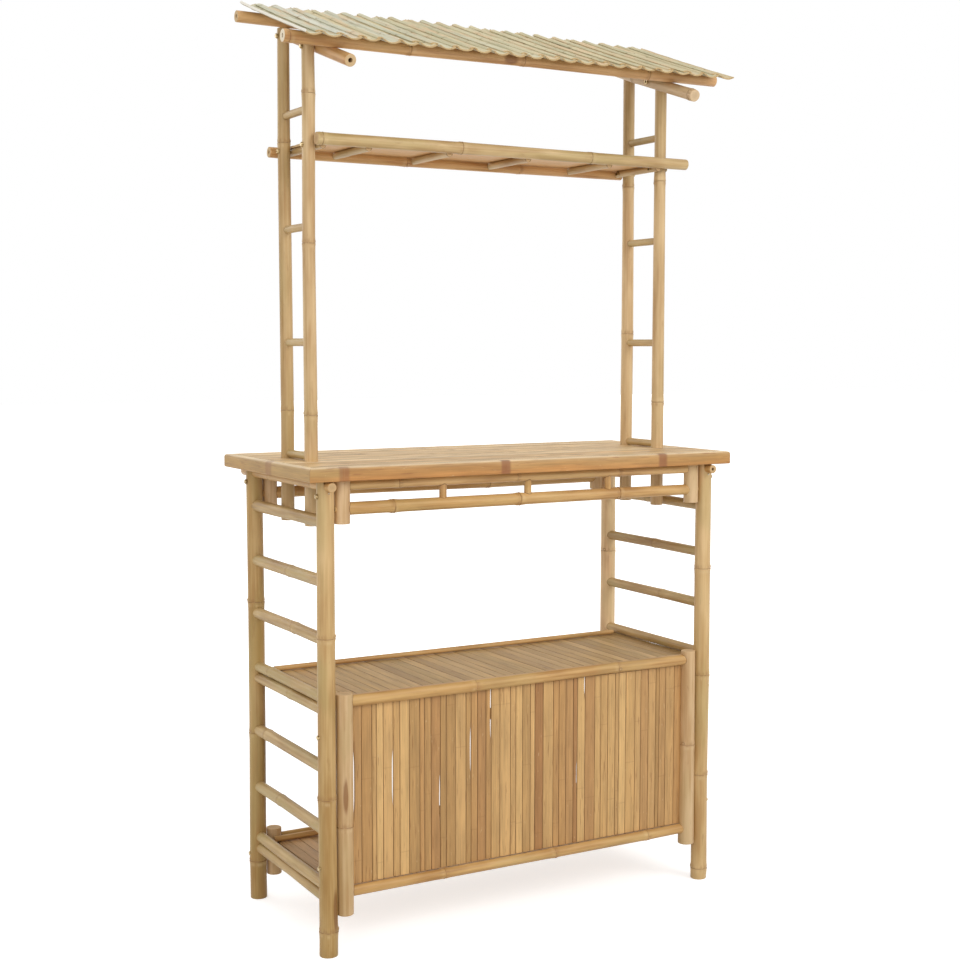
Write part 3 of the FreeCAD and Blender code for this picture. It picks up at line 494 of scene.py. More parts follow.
class Pole:
    # A round pole read from the frame: its line, radius and the places of its node rings
    def __init__(self, points, axis=None):
        low, high = points.min(0), points.max(0)
        self.axis = np.eye(3)[(high - low).argmax()] if axis is None else np.array(axis, float)
        middle = (low + high) / 2
        along = (points - middle) @ self.axis
        away = np.linalg.norm(points - middle - np.outer(along, self.axis), axis=1)
        reach = away.max()
        ringed = (np.abs(away - (reach - ringRise)) < 5e-5).sum() > 8
        self.radius = reach - ringRise * ringed
        self.start = middle + self.axis * along.min()
        self.length = along.max() - along.min()
        self.mouths = [None, None]
        self.rings = []
        if ringed:
            marks = along[away > self.radius + 0.9 * ringRise] - along.min()
            self.rings = sorted(set((marks * 1000).round().astype(int) / 1000))

    def across(self):
        # Two directions square to the pole
        up = np.array((0.0, 0, 1)) if abs(self.axis[2]) < 0.9 else np.array((1.0, 0, 0))
        side = np.cross(up, self.axis)
        side /= np.linalg.norm(side)
        return side, np.cross(self.axis, side)

    def stretch(self, first, last):
        # Run from one crossing pole's axis to another's, with a fish mouth at each
        low, high = [(other.start - self.start) @ self.axis for other in (first, last)]
        self.rings = [ring - low for ring in self.rings]
        self.start = self.start + self.axis * low
        self.length = high - low
        self.mouths = [first, last]

    def grow(self, seed, traits):
        # Fixed irregularities: bends at the nodes, sizes and tones of the stretches between them
        rng = random.Random(seed)
        self.seed = seed
        self.traits = traits
        self.stops = [0.0, *self.rings, self.length]
        count = len(self.stops)
        bends = [(0.0, 0.0)] + [(rng.uniform(-1, 1), rng.uniform(-1, 1)) for k in range(count - 2)]
        self.bends = np.array(bends + [(0.0, 0.0)]) * traits["bend"]
        self.sizes = np.array([rng.uniform(-1, 1) for k in range(count)]) * traits["uneven"]
        self.tones = np.array([1 + rng.uniform(-1, 1) * traits["spread"] for k in range(count)])
        self.turn = rng.uniform(0, math.tau)
        self.grows = 1 if rng.random() < 0.7 else -1
        side = rng.uniform(0, math.tau) if traits["budTurn"] is None else traits["budTurn"]
        self.buds = [side + math.pi * k + rng.uniform(-0.3, 0.3) for k in range(len(self.rings))]

    def middleAt(self, s):
        return [np.interp(s, self.stops, self.bends[:, k]) for k in (0, 1)]

    def budAway(self, s, theta):
        # Distance over the skin from the nearest bud scar
        best = np.full(np.broadcast(s, theta).shape, 0.02)
        for ring, angle in zip(self.rings, self.buds):
            turned = (theta - angle + math.pi) % math.tau - math.pi
            past = (s - ring) * self.grows - self.traits["budPast"]
            best = np.minimum(best, np.hypot(turned * self.radius, past))
        return best

    def radiusAt(self, s, theta):
        traits = self.traits
        size = self.radius * (1 + traits["oval"] * np.cos(2 * (theta - self.turn)))
        size = size * np.interp(s, (0, self.length), traits["taper"])
        size = size + np.interp(s, self.stops, self.sizes)
        for ring in self.rings:
            past = (s - ring) * self.grows
            size = size + traits["knob"] * sum(
                rise * np.exp(-((past - middle) / wide) ** 2) for rise, middle, wide in nodeBumps)
        return size + traits["bud"] * np.exp(-(self.budAway(s, theta) / traits["budReach"]) ** 2)

    def stainAt(self, s, theta):
        # 1 at the middle of the pole's stain
        if self.traits["stain"] is None:
            return np.zeros(np.shape(s))
        height, facing, long, wide = self.traits["stain"]
        turned = ((theta - facing + math.pi) % math.tau - math.pi) * self.radius
        return np.exp(-((s - height) / long) ** 2 - (turned / wide) ** 2)

    def knotAway(self, s):
        # Signed distance from the nearest node's line, in millimetres
        best = np.full(np.shape(s), 999.0)
        for ring in self.rings:
            away = (s - ring) * self.grows * 1000
            best = np.where(np.abs(away) < np.abs(best), away, best)
        return best

    def mouthAway(self, s, theta):
        # Distance from the fish mouth at either end, in millimetres, where the finish paints shade
        away = np.full(np.shape(s), 99.0)
        for end, other in enumerate(self.mouths):
            if other is not None:
                edge = self.length * end + (1 - 2 * end) * s - mouthAt(self, end, theta, 1.0)
                away = np.minimum(away, edge * 1000)
        return away

    def marks(self, points):
        # What the finish reads at each point of the pole's mesh
        rel = points - self.start
        s = rel @ self.axis
        side, up = self.across()
        bendX, bendY = self.middleAt(s)
        x = rel @ side - bendX
        y = rel @ up - bendY
        theta = np.arctan2(y, x)
        depth = (self.radiusAt(s, theta) - np.hypot(x, y)) * 1000
        between = np.searchsorted(self.stops[1:-1], s + self.traits["tonePast"] * self.grows)
        inside = np.minimum(s, self.length - s) * (depth > 1.5) * 1000
        knot = self.knotAway(s)
        return {
            "fibre": np.stack([x + self.seed * 0.37, y + self.seed * 0.11, s + self.seed * 1.9], 1),
            # tone: the stretch's own lightness times the pole's shade, on some poles painted light and shade
            "tone": self.tones[between] * np.interp(s, (0, self.length), self.traits["shade"]),
            "knot": knot,
            "near": np.clip(2 - np.abs(knot) / 20, 0, 1),   # 0 from 40 mm away, where knot changes sign
            "bare": np.clip(depth, 0, 8),
            "bud": self.budAway(s, theta) * 1000,
            # bore: painted shade, for points deeper than 1.5 mm below the skin, full from 4 mm in from an end
            "bore": np.clip(inside / 4, 0, 1),
            "stain": self.stainAt(s, theta),
            "mouth": self.mouthAway(s, theta),
        }


# Culms

poleTraits = {
    "bend": 0.0011, "uneven": 0.0004, "oval": 0.010, "knob": 1.1, "bud": 0.0009, "budReach": 0.0034,
    "budTurn": None, "stain": None, "bevel": 0.0011, "spread": 0.045,
    "step": 0.028,             # between loops far from a node, and the scale of those close to it
    "nodeStep": 0.0046,
    "budPast": 0.0055,         # past the node's ring: the bud, and the change to the next tone
    "tonePast": 0.0018,
    "bite": 0.0005,            # how far a fish mouth sinks into the pole that it meets
    "bores": (0.0, 0.0),       # radius of the hollow at each end
    "boreDepth": 0.030,
    "taper": (1.0, 1.0),       # at the low, left or front end, and at the other
    # shade: lightness at the low, left or front end and at the other, which goes into the tone
    "shade": (1.0, 1.0),
}

# What is particular to families of culms and then to single ones, by the start of the node's name.
# A tenon is given by its radius, and a stain by its height, direction, half length and half width
ownTraits = {
    "leg_": {"bend": 0.0016, "bevel": 0.0018, "knob": 1.25, "bud": 0.0013, "budReach": 0.0046},
    "upright_": {"bend": 0.0014, "taper": (1.04, 0.95)},
    "apron_post_": {"bevel": 0.0015},
    "cabinet_post_": {"bevel": 0.0018},
    "bottom_rear_posts": {"bevel": 0.0018},
    "apron_top_rail_": {"bend": 0.0012},
    "apron_lower_rail_": {"bend": 0.0016, "tenon": 0.0075},
    "purlin_": {"bend": 0.0012, "bores": (0.0042, 0.0042)},
    # A shade pair: the front left leg darker towards its foot is painted shade, the rear left leg is a darker
    # culm, and the rear right leg, the front top rail and the front purlin are made lighter as painted light
    # where the counter and the roof shade them. On the other poles it makes them lighter or darker at each
    # end
    "leg_front_left": {"shade": (0.70, 1.04), "taper": (1.0, 0.955), "budTurn": 1.15, "bud": 0.0016,
                       "stain": (0.100, 0.52, 0.052, 0.0085)},
    "leg_rear_left": {"shade": (0.76, 0.84), "taper": (1.0, 0.93), "bend": 0.0034},
    "leg_front_right": {"shade": (0.93, 1.06), "taper": (1.0, 0.96)},
    "leg_rear_right": {"shade": (1.36, 1.40), "taper": (1.0, 0.95)},
    "upright_rear_left": {"shade": (0.82, 0.78)},
    "cabinet_post_left": {"shade": (0.90, 0.93), "stain": (0.262, -0.30, 0.040, 0.0062)},
    "cabinet_post_right": {"shade": (0.95, 0.97), "taper": (1.04, 0.92)},
    "apron_lower_rail_front": {"taper": (1.06, 0.95), "knob": 1.9},
    "apron_top_rail_front": {"shade": (1.10, 1.08), "knob": 1.6},
    "purlin_front": {"shade": (1.08, 1.08), "stain": (0.5390, 3.5, 0.020, 0.0130)},
    "ladder_top_rail_right": {"bores": (0.0036, 0.0036)},
    "rafter_left": {"bores": (0.0050, 0.0)},
    "rafter_right": {"bores": (0.0, 0.0050)},
    "shelf_front_pole": {"bend": 0.0012, "bores": (0.0, 0.0042)},
    "shelf_rear_pole": {"bend": 0.0012, "bores": (0.0042, 0.0)},
}

# Places along X of the nodes that the photograph shows elsewhere than the frame's rings
nodePlaces = {
    "panel_bottom_pole": (-0.216, 0.072, 0.333),
    "panel_top_pole": (-0.139, 0.244),
    "purlin_front": (-0.5415, -0.2625, 0.021, 0.3625),
    "apron_lower_rail_front": (-0.336, -0.022, 0.246),
    "apron_top_rail_front": (-0.328, -0.033, 0.241),
    "shelf_rear_pole": (-0.465, -0.151, 0.154),
}


def traitsOf(node):
    traits = dict(poleTraits)
    for start, own in ownTraits.items():
        if node.startswith(start):
            traits.update(own)
    return traits


def mouthAt(pole, end, theta, share):
    # Where a pole's end meets the round face of the one that it butts on, round its edge
    other = pole.mouths[end]
    side, up = pole.across()
    square = np.cross(pole.axis, other.axis)
    here = (pole.start + pole.axis * pole.length * end - other.start) @ square
    offset = share * pole.radius * (np.cos(theta) * (side @ square) + np.sin(theta) * (up @ square)) + here
    return np.sqrt(np.maximum(other.radius ** 2 - offset ** 2, 0)) - poleTraits["bite"]


def endLoops(pole, end, theta):
    # Loops from the middle of an end face out to the skin: distance from the end, share of the radius
    if pole.mouths[end] is not None:
        return [(mouthAt(pole, end, theta, share), share) for share in (0.0, 0.35, 0.7, 1.0)]
    radius, bevel, depth = pole.radius, pole.traits["bevel"], pole.traits["boreDepth"]
    rim = [(0.0, 1 - bevel / radius), (0.12 * bevel, 1 - 0.45 * bevel / radius),
           (0.45 * bevel, 1 - 0.12 * bevel / radius), (bevel, 1.0)]
    bore = pole.traits["bores"][end] / radius
    if bore:
        inner = [(depth, 0.0), (depth, 0.6 * bore), (depth * 0.9, bore), (bevel, bore),
                 (0.3 * bevel, 1.04 * bore), (0.0, 1.1 * bore)]
    else:
        inner = [(0.0008, 0.0), (0.0006, 0.3), (0.0002, 0.7)]
    return [(np.full(len(theta), float(away)), share) for away, share in inner + rim]


def loopFaces(count, rows, base=0):
    # Faces between rows of points, where each row is a closed loop
    faces = []
    for row in range(rows):
        near = base + row * count
        for k in range(count):
            following = (k + 1) % count
            faces.append((near + k, near + following, near + count + following, near + count + k))
    return faces


def prism(count, rows):
    return [tuple(range(count)), tuple(range(rows * count, (rows + 1) * count))] + loopFaces(count, rows)


def culmShell(pole):
    # Points and faces of one closed culm. Its loops crowd round the nodes
    traits = pole.traits
    count = 24 + int(pole.radius * 1300)
    theta = np.arange(count) * math.tau / count
    side, up = pole.across()
    fine = [traits["nodeStep"] * math.sinh(0.2 * k) for k in range(-12, 13)]
    guard = [0.003 + (other.radius if other else traits["bevel"]) for other in pole.mouths]
    stations = {round(ring + step * pole.grows, 5) for ring in pole.rings for step in fine}
    if traits["stain"] is not None:
        height, long = traits["stain"][0], traits["stain"][2]
        stations |= {round(height + 0.5 * long * k, 5) for k in range(-4, 5)}
    steps = max(2, round(pole.length / traits["step"]))
    for k in range(steps + 1):
        s = pole.length * k / steps
        if all(abs(s - ring) > fine[-1] + 0.004 for ring in pole.rings):
            stations.add(round(s, 5))
    stations = sorted(s for s in stations if guard[0] < s < pole.length - guard[1])
    loops = endLoops(pole, 0, theta) + [(np.full(count, s), 1.0) for s in stations]
    loops += [(pole.length - away, share) for away, share in reversed(endLoops(pole, 1, theta))]
    rows = []
    for s, share in loops:
        bendX, bendY = pole.middleAt(s)
        reach = pole.radiusAt(s, theta) * share
        x = np.cos(theta) * reach + bendX
        y = np.sin(theta) * reach + bendY
        row = pole.start + np.outer(s, pole.axis) + np.outer(x, side) + np.outer(y, up)
        rows.append(row[:1] if share == 0 else row)
    points = np.concatenate(rows)
    last = len(points) - 1
    faces = [(0, 1 + (k + 1) % count, 1 + k) for k in range(count)]
    faces += loopFaces(count, len(rows) - 3, 1)
    faces += [(last, last - count + k, last - count + (k + 1) % count) for k in range(count)]
    return points, faces


def meshFrom(name, shells):
    # One mesh out of several closed shells
    points, faces = [], []
    for shellPoints, shellFaces in shells:
        shift = sum(len(part) for part in points)
        points.append(shellPoints)
        faces += [tuple(corner + shift for corner in face) for face in shellFaces]
    mesh = bpy.data.meshes.new(name)
    mesh.from_pydata(np.concatenate(points).tolist(), [], faces)
    return mesh


def writeMarks(mesh, marks):
    for mark, values in marks.items():
        vector = np.ndim(values) == 2
        layer = mesh.attributes.new(mark, "FLOAT_VECTOR" if vector else "FLOAT", "POINT")
        layer.data.foreach_set("vector" if vector else "value", np.ravel(values).astype(np.float32))


culmEdge, slatEdge = 40, 34    # degrees from which an edge stays sharp


def settle(mesh, sharp=culmEdge):
    # Outward faces, smooth but for the sharp edges
    work = bmesh.new()
    work.from_mesh(mesh)
    bmesh.ops.recalc_face_normals(work, faces=work.faces)
    work.to_mesh(mesh)
    work.free()
    mesh.shade_smooth()
    mesh.set_sharp_from_angle(angle=math.radians(sharp))


def showPiece(name, mesh, node):
    piece = addObject(name, mesh)
    mesh.materials.clear()
    mesh.materials.append(finishOf(node))
    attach(piece, "root")
    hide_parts(node)


def evaluated(holder, name):
    # The plain mesh that an object's modifiers make
    bpy.context.view_layer.update()
    result = holder.evaluated_get(bpy.context.evaluated_depsgraph_get())
    mesh = bpy.data.meshes.new_from_object(result)
    mesh.name = name
    bpy.data.objects.remove(holder)
    return mesh


def polesOf(node):
    axis = slope if node.startswith("rafter_") else None
    return [Pole(points, axis) for points in solidsOf(node)]


# The nodes that are culms: the start of the name, and what follows it
families = (
    ("leg_", corners), ("upright_", corners), ("apron_post_", corners), ("ladder_top_rail_", sides),
    ("cabinet_post_", sides), ("bottom_rear_", ("posts",)), ("purlin_", ends), ("rafter_", sides),
    ("shelf_", ("front_pole", "rear_pole")), ("cabinet_top_rear_", ("pole",)), ("bottom_near_", ("rail",)),
    ("apron_top_rail_", ends), ("panel_", ("top_pole", "bottom_pole")), ("bottom_far_", ("rail",)),
    ("counter_bearer_", sides), ("apron_lower_rail_", ends))
culms = {start + name: polesOf(start + name) for start, names in families for name in names}
for node, spots in nodePlaces.items():
    culms[node][0].rings = [spot - culms[node][0].start[0] for spot in spots]
print("poles read from the frame")


def some(start, names):
    return [culms[start + name][0] for name in names]


# Poles that end in fish mouths on two others
copes = {"apron_top_rail_" + end: some("apron_post_" + end + "_", sides) for end in ends}
copes.update({"apron_lower_rail_" + end: copes["apron_top_rail_" + end] for end in ends})
copes.update({"counter_bearer_" + side: some("apron_top_rail_", ends) for side in sides})
copes.update({node: some("cabinet_post_", sides) for node in ("panel_top_pole", "panel_bottom_pole")})
copes["bottom_far_rail"] = culms["bottom_rear_posts"]


def tenonsOf(rail, outer, radius):
    # The thin ends of a lower apron rail, which run on through the posts to the legs
    tenons = []
    for start in (outer, rail.start + rail.axis * rail.length):
        tenon = Pole(np.array([start, start + rail.axis]), rail.axis)
        tenon.radius = radius
        tenon.start = start
        tenon.length = abs(outer[0] - rail.start[0])
        tenons.append(tenon)
    return tenons


def makeCulms(node, poles):
    # One piece out of one or more culms
    shells, marks = [], []
    for k, pole in enumerate(poles):
        pole.grow(seeds[node] + k, traitsOf(node))
        shells.append(culmShell(pole))
        marks.append(pole.marks(shells[-1][0]))
    mesh = meshFrom(node + "_culm", shells)
    writeMarks(mesh, {mark: np.concatenate([part[mark] for part in marks]) for mark in marks[0]})
    settle(mesh)
    showPiece(node + "_culm", mesh, node)


def makeLeg(node, leg, rail):
    # A leg with a saddle notch, in which the end's top rail lies
    leg.grow(seeds[node], traitsOf(node))
    blank = addObject(node, meshFrom(node, [culmShell(leg)]))
    settle(blank.data)
    width = rail.radius + clearance
    reach = 2 * leg.radius
    angles = [math.pi * (1 + k / 24) for k in range(25)]
    outline = [(width * math.cos(angle), width * math.sin(angle)) for angle in angles]
    outline = [(-width, reach)] + outline + [(width, reach)]
    points = [(rail.start[0] + x, leg.start[1] + y, rail.start[2] + z) for y in (-reach, reach)
              for x, z in outline]
    cutter = addObject("saddle", meshFrom("saddle", [(np.array(points), prism(len(outline), 1))]))
    settle(cutter.data)
    cut = blank.modifiers.new("saddle", "BOOLEAN")
    cut.object = cutter
    cut.operation = "DIFFERENCE"
    mesh = evaluated(blank, node + "_culm")
    bpy.data.objects.remove(cutter)
    writeMarks(mesh, leg.marks(np.array([vert.co for vert in mesh.vertices], float)))
    settle(mesh)
    showPiece(node + "_culm", mesh, node)


for node, (first, last) in copes.items():
    outer = culms[node][0].start
    culms[node][0].stretch(first, last)
    if "tenon" in traitsOf(node):
        culms[node] += tenonsOf(culms[node][0], outer, traitsOf(node)["tenon"])
for node, poles in culms.items():
    if node.startswith("leg_"):
        makeLeg(node, poles[0], culms["ladder_top_rail_" + node.split("_")[2]][0])
    else:
        makeCulms(node, poles)
print("long culms made")


# Geometry Nodes. A grown piece is laid out from its seats along three directions

def ways(side, run, up):
    named = {"x": (1.0, 0.0, 0.0), "y": (0.0, 1.0, 0.0), "z": (0.0, 0.0, 1.0), "front": (0.0, -1.0, 0.0),
             "slope": slope, "lift": (0.0, -slope[2], slope[1])}
    return {"Side": named[side], "Run": named[run], "Up": named[up]}


def newTree(name, inputs):
    tree = bpy.data.node_groups.new(name, "GeometryNodeTree")
    tree.interface.new_socket("Geometry", in_out="INPUT", socket_type="NodeSocketGeometry")
    kinds = {int: "Int", float: "Float", tuple: "Vector", type(None): "Material"}
    for label, value in {**ways("x", "y", "z"), **inputs, "Finish": None}.items():
        kind = "NodeSocket" + kinds[type(value)]
        socket = tree.interface.new_socket(label, in_out="INPUT", socket_type=kind)
        if value is not None:
            socket.default_value = value
    tree.interface.new_socket("Geometry", in_out="OUTPUT", socket_type="NodeSocketGeometry")
    entry = tree.nodes.new("NodeGroupInput")
    return tree, {socket.name: Wire(tree, socket) for socket in entry.outputs if socket.name}


def readPoint(tree, name, kind="FLOAT"):
    return place(tree, "GeometryNodeInputNamedAttribute", {"Name": name}, "Attribute", data_type=kind)


def readPoints(tree, names):
    return [readPoint(tree, name) for name in names]


def slabOf(tree, columns, rows):
    # A block of two layers of points, from -1 to 1 each way
    return place(tree, "GeometryNodeMeshCube", {
        "Size": (2.0, 2.0, 2.0), "Vertices X": columns, "Vertices Y": rows, "Vertices Z": 2})


def store(tree, geometry, name, value, kind="FLOAT"):
    return place(tree, "GeometryNodeStoreNamedAttribute",
                 {"Geometry": geometry, "Name": name, "Value": value}, data_type=kind, domain="POINT")


def onPoints(tree, points, shape):
    # The shape on every point, and its own coordinates
    position = place(tree, "GeometryNodeInputPosition", {})
    points = store(tree, points, "seat", position, "FLOAT_VECTOR")
    shape = store(tree, shape, "unit", position, "FLOAT_VECTOR")
    spread = place(tree, "GeometryNodeInstanceOnPoints", {"Points": points, "Instance": shape})
    shape = place(tree, "GeometryNodeRealizeInstances", {"Geometry": spread})
    return shape, readPoint(tree, "unit", "FLOAT_VECTOR").parts()


def laidOut(tree, shape, entry, x, y, z, marks):
    # Every point to its place along the three directions from its seat
    spot = readPoint(tree, "seat", "FLOAT_VECTOR")
    for label, value in (("Side", x), ("Run", y), ("Up", z)):
        spot = spot.vector("ADD", entry[label].vector("SCALE", value))
    for mark, value in marks.items():
        shape = store(tree, shape, mark, value, "FLOAT_VECTOR" if mark == "fibre" else "FLOAT")
    shape = place(tree, "GeometryNodeSetPosition", {"Geometry": shape, "Position": spot})
    shape = place(tree, "GeometryNodeSetMaterial", {"Geometry": shape, "Material": entry["Finish"]})
    leave = tree.nodes.new("NodeGroupOutput")
    tree.links.new(shape.socket, leave.inputs[0])
    return tree


def growPiece(node, tree, names, rows, inputs):
    # Runs a tree on seats, each with its named values, and shows the plain mesh that comes out
    mesh = bpy.data.meshes.new(node)
    mesh.from_pydata([tuple(seat) for seat, *values in rows], [], [])
    columns = zip(*[values for seat, *values in rows])
    writeMarks(mesh, {name: np.array(column, float) for name, column in zip(names, columns)})
    holder = addObject(node, mesh)
    modifier = holder.modifiers.new("grow", "NODES")
    modifier.node_group = tree
    inputs = dict(inputs, Finish=finishOf(node))
    for item in tree.interface.items_tree:
        if item.in_out == "INPUT" and item.name in inputs:
            modifier[item.identifier] = inputs[item.name]
    mesh = evaluated(holder, node + "_set")
    for extra in ("unit", "seat"):
        mesh.attributes.remove(mesh.attributes[extra])
    settle(mesh, slatEdge)
    showPiece(node + "_set", mesh, node)


rungMarks = ("reach", "thick", "knobAt", "rise", "spread", "seed")


def rungTree(tight=0.012):
    # Short culms between two crossing poles, with at most one node and a fish mouth at each end
    tree, entry = newTree("rungs", {
        "Segments": 30, "Stations": 90, "First Mouth": 0.0195, "Last Mouth": 0.0195,
        "First Offset": 0.0, "Last Offset": 0.0, "Lap": 0.0, "Bend": 0.0018})
    tube = place(tree, "GeometryNodeMeshCylinder",
                 {"Vertices": entry["Segments"], "Side Segments": entry["Stations"], "Radius": 1.0,
                  "Depth": 2.0}, fill_type="TRIANGLE_FAN")
    shape, (unitX, unitY, unitZ) = onPoints(tree, entry["Geometry"], tube)
    reach, thick, knobAt, rise, spread, seed = readPoints(tree, rungMarks)
    share = (unitX * unitX + unitY * unitY).root()
    theta = unitY.math("ARCTAN2", unitX)
    # Loops crowd round the node: the run along the rung follows a hyperbolic sine
    low, high = [(edge + (edge * edge + 1.0).root()).math("LOGARITHM", math.e)
                 for edge in ((reach + knobAt) / tight, (reach - knobAt) / tight)]
    run = ((low + high) * (unitZ * 0.5 + 0.5) - low).math("SINH") * tight + knobAt
    past = run - knobAt
    ridge = sum(past.bell(middle, wide) * lift for lift, middle, wide in nodeBumps)
    oval = (theta * 2.0 + seed * 5.0).math("COSINE") * 0.012 + 1.0
    radius = (thick * oval + ridge * rise) * share
    sag = (1.0 - unitZ * unitZ) * entry["Bend"]
    core = share.atLeast(0.001)
    x = unitX * radius / core + sag * (seed * 9.0).math("COSINE")
    z = unitY * radius / core + sag * (seed * 9.0).math("SINE")
    limits = []
    for mouth, offset in (("First Mouth", "First Offset"), ("Last Mouth", "Last Offset")):
        away = x - entry[offset]
        hollow = (entry[mouth] * entry[mouth] - away * away).root()
        limits.append(reach - hollow.atLeast(entry["Lap"]) + poleTraits["bite"])
    run = run.atLeast(limits[0] * -1.0).atMost(limits[1])
    marks = {
        "fibre": joined(tree, x + seed * 3.1, z + seed * 1.7, run + seed * 9.3),
        "knot": (run - knobAt) * 1000.0,
        "near": rise,
        "bare": (1.0 - share) * 6.0,
        "tone": (spread + past.over(poleTraits["tonePast"]) * 0.37).math("FRACT") * 0.12 + 0.94,
        "bud": 20.0,
        "bore": 0.0,
        "stain": 0.0,
        # Distance from the fish mouths, where the finish paints shade
        "mouth": (run + limits[0]).atMost(limits[1] - run) * 1000.0,
    }
    return laidOut(tree, shape, entry, x, run, z, marks)


rungShape = rungTree()


def growRungs(node, first, last, way, mouths, offsets=(0.0, 0.0), **inputs):
    # first and last: the places of the crossing poles' axes along the rungs' own direction
    inputs.update(way)
    for k, label in enumerate(("First", "Last")):
        inputs[label + " Mouth"] = mouths[k]
        inputs[label + " Offset"] = offsets[k]
    rng = random.Random(seeds[node])
    rows = []
    for pole in polesOf(node):
        axis = int(pole.axis.argmax())
        seat = pole.start.copy()
        seat[axis] = (first + last) / 2
        ring = pole.start[axis] + pole.rings[0] - seat[axis] if pole.rings else 0.0
        rows.append((seat, (last - first) / 2, pole.radius, ring, float(bool(pole.rings)),
                     rng.random(), rng.random()))
    growPiece(node, rungShape, rungMarks, rows, inputs)


thinnedLeg = 0.95      # a leg's radius at the rungs, where it has tapered


def makeRungs():
    acrossY, underX = ways("x", "y", "z"), ways("z", "y", "x")
    front, rear = some("leg_", ("front_left", "rear_left"))
    foot = front.radius * thinnedLeg
    for side in sides:
        growRungs("ladder_rungs_" + side, front.start[1], rear.start[1], acrossY, (foot, foot))
        near, far = some("upright_", ("front_" + side, "rear_" + side))
        growRungs("upper_rungs_" + side, near.start[1], far.start[1], acrossY, (near.radius, near.radius),
                  Stations=24, Bend=0.0003)
    for end in ends:
        low, high = culms["apron_lower_rail_" + end][0], culms["apron_top_rail_" + end][0]
        growRungs("apron_spacers_" + end, low.start[2], high.start[2], ways("y", "z", "x"),
                  (low.radius, high.radius), Stations=12, Segments=26, Bend=0.0)
    near, far = some("shelf_", ("front_pole", "rear_pole"))
    lift = near.start[2] - polesOf("shelf_battens")[0].start[2]
    growRungs("shelf_battens", near.start[1], far.start[1], underX, (near.radius, far.radius), (lift, 0.0),
              Stations=24, Bend=0.0, Lap=0.004)
    near, far = some("apron_top_rail_", ends)
    growRungs("counter_cross_bearers", near.start[1], far.start[1], underX, (near.radius, far.radius),
              Stations=40)
    reach = culms["leg_front_right"][0].start[0]
    rungs = polesOf("ladder_rungs_left")
    for node in ("cabinet_top_bearers", "bottom_shelf_bearers"):
        height = polesOf(node)[0].start[2]
        closest = min(rungs, key=lambda rung: abs(rung.start[2] - height))
        lift = closest.start[2] - height
        growRungs(node, -reach, reach, ways("z", "x", "y"), (closest.radius, closest.radius), (lift, lift),
                  Stations=60, Lap=0.006)


makeRungs()
print("rungs, spacers and bearers grown")


# Slats and boards

barMarks = (
    "half", "tone", "seed", "knobAt", "slim", "drop", "notchLow", "notchHigh", "slit", "slitAt", "slitLong")


def barTree():
    # Flat bars with bevelled edges, uneven sides and, where asked, a round notch for an upright
    tree, entry = newTree("bars", {
        "Rows": 17, "Bevel": 0.0006, "Crown": 0.0, "Wander": 0.0004, "Warp": 0.0003, "Knot Rise": 0.0003,
        "Notch Radius": 0.0, "Notch Place": 0.0, "Ragged": 0.0})
    shape, (u, v, w) = onPoints(tree, entry["Geometry"], slabOf(tree, 7, entry["Rows"]))
    wide, long, thick = readPoint(tree, "half", "FLOAT_VECTOR").parts()
    tone, seed, knobAt, slim, drop, notchLow, notchHigh, slit, slitAt, slitLong = readPoints(
        tree, barMarks[1:])
    bevel = entry["Bevel"]
    top = w * 0.5 + 0.5
    rim = abs(u).over(0.9)
    tip = abs(v).over(0.995)
    sign = v.math("SIGN")
    inset = (entry["Rows"] - 1.0) / (entry["Rows"] - 3.0)
    run = (abs(v) * inset * (long - bevel)).atMost(long) * sign
    drift = joined(tree, seed * 31.0, u.math("SIGN") * 3.0, run).noise((1.0, 1.0, 16.0)) - 0.5
    half = wide - slim + drift * entry["Wander"] * 2.0 - entry["Wander"]
    across = (abs(u) * 1.5 * (half - bevel)).atMost(half) * u.math("SIGN")
    # The notch squeezes a board's section towards its other side
    gap = abs(run) - entry["Notch Place"]
    chord = (entry["Notch Radius"] * entry["Notch Radius"] - gap * gap).root()
    past = (run - slitAt) / slitLong
    narrow = (past * past).bell(0.0, 1.0) * slit
    low = chord * notchLow - half - narrow.atMost(0.0)
    high = half - chord * notchHigh - narrow.atLeast(0.0)
    across = (across / half * 0.5 + 0.5) * (high - low) + low
    squeeze = across / half
    height = thick * 2.0 - entry["Crown"] * squeeze * squeeze - bevel * rim.atLeast(tip)
    height = height + (run - knobAt).bell(0.0, 0.004) * entry["Knot Rise"] * top
    warp = joined(tree, seed * 17.0, run, seed).noise((1.0, 5.0, 1.0), 1.0) - 0.5
    up = top * height - thick + warp * entry["Warp"] - drop * (run / long * 0.5 + 0.5)
    fray = joined(tree, seed * 13.0, across, sign * 7.0).noise((1.0, 160.0, 1.0))
    run = run - sign * fray * tip * entry["Ragged"]
    marks = {
        "fibre": joined(tree, across + seed * 2.3, up + seed * 0.7, run + seed * 7.9),
        "knot": (run - knobAt) * 1000.0,
        "near": 1.0,
        "edge": (half - abs(across)) * 1000.0,
        "bare": tip * 2.0,
        "back": 1.0 - top,
        "tone": tone,
    }
    return laidOut(tree, shape, entry, across, run, up, marks)


barShape = barTree()


touching = 0.002       # an upright's axis this close to a board's edge cuts a notch there


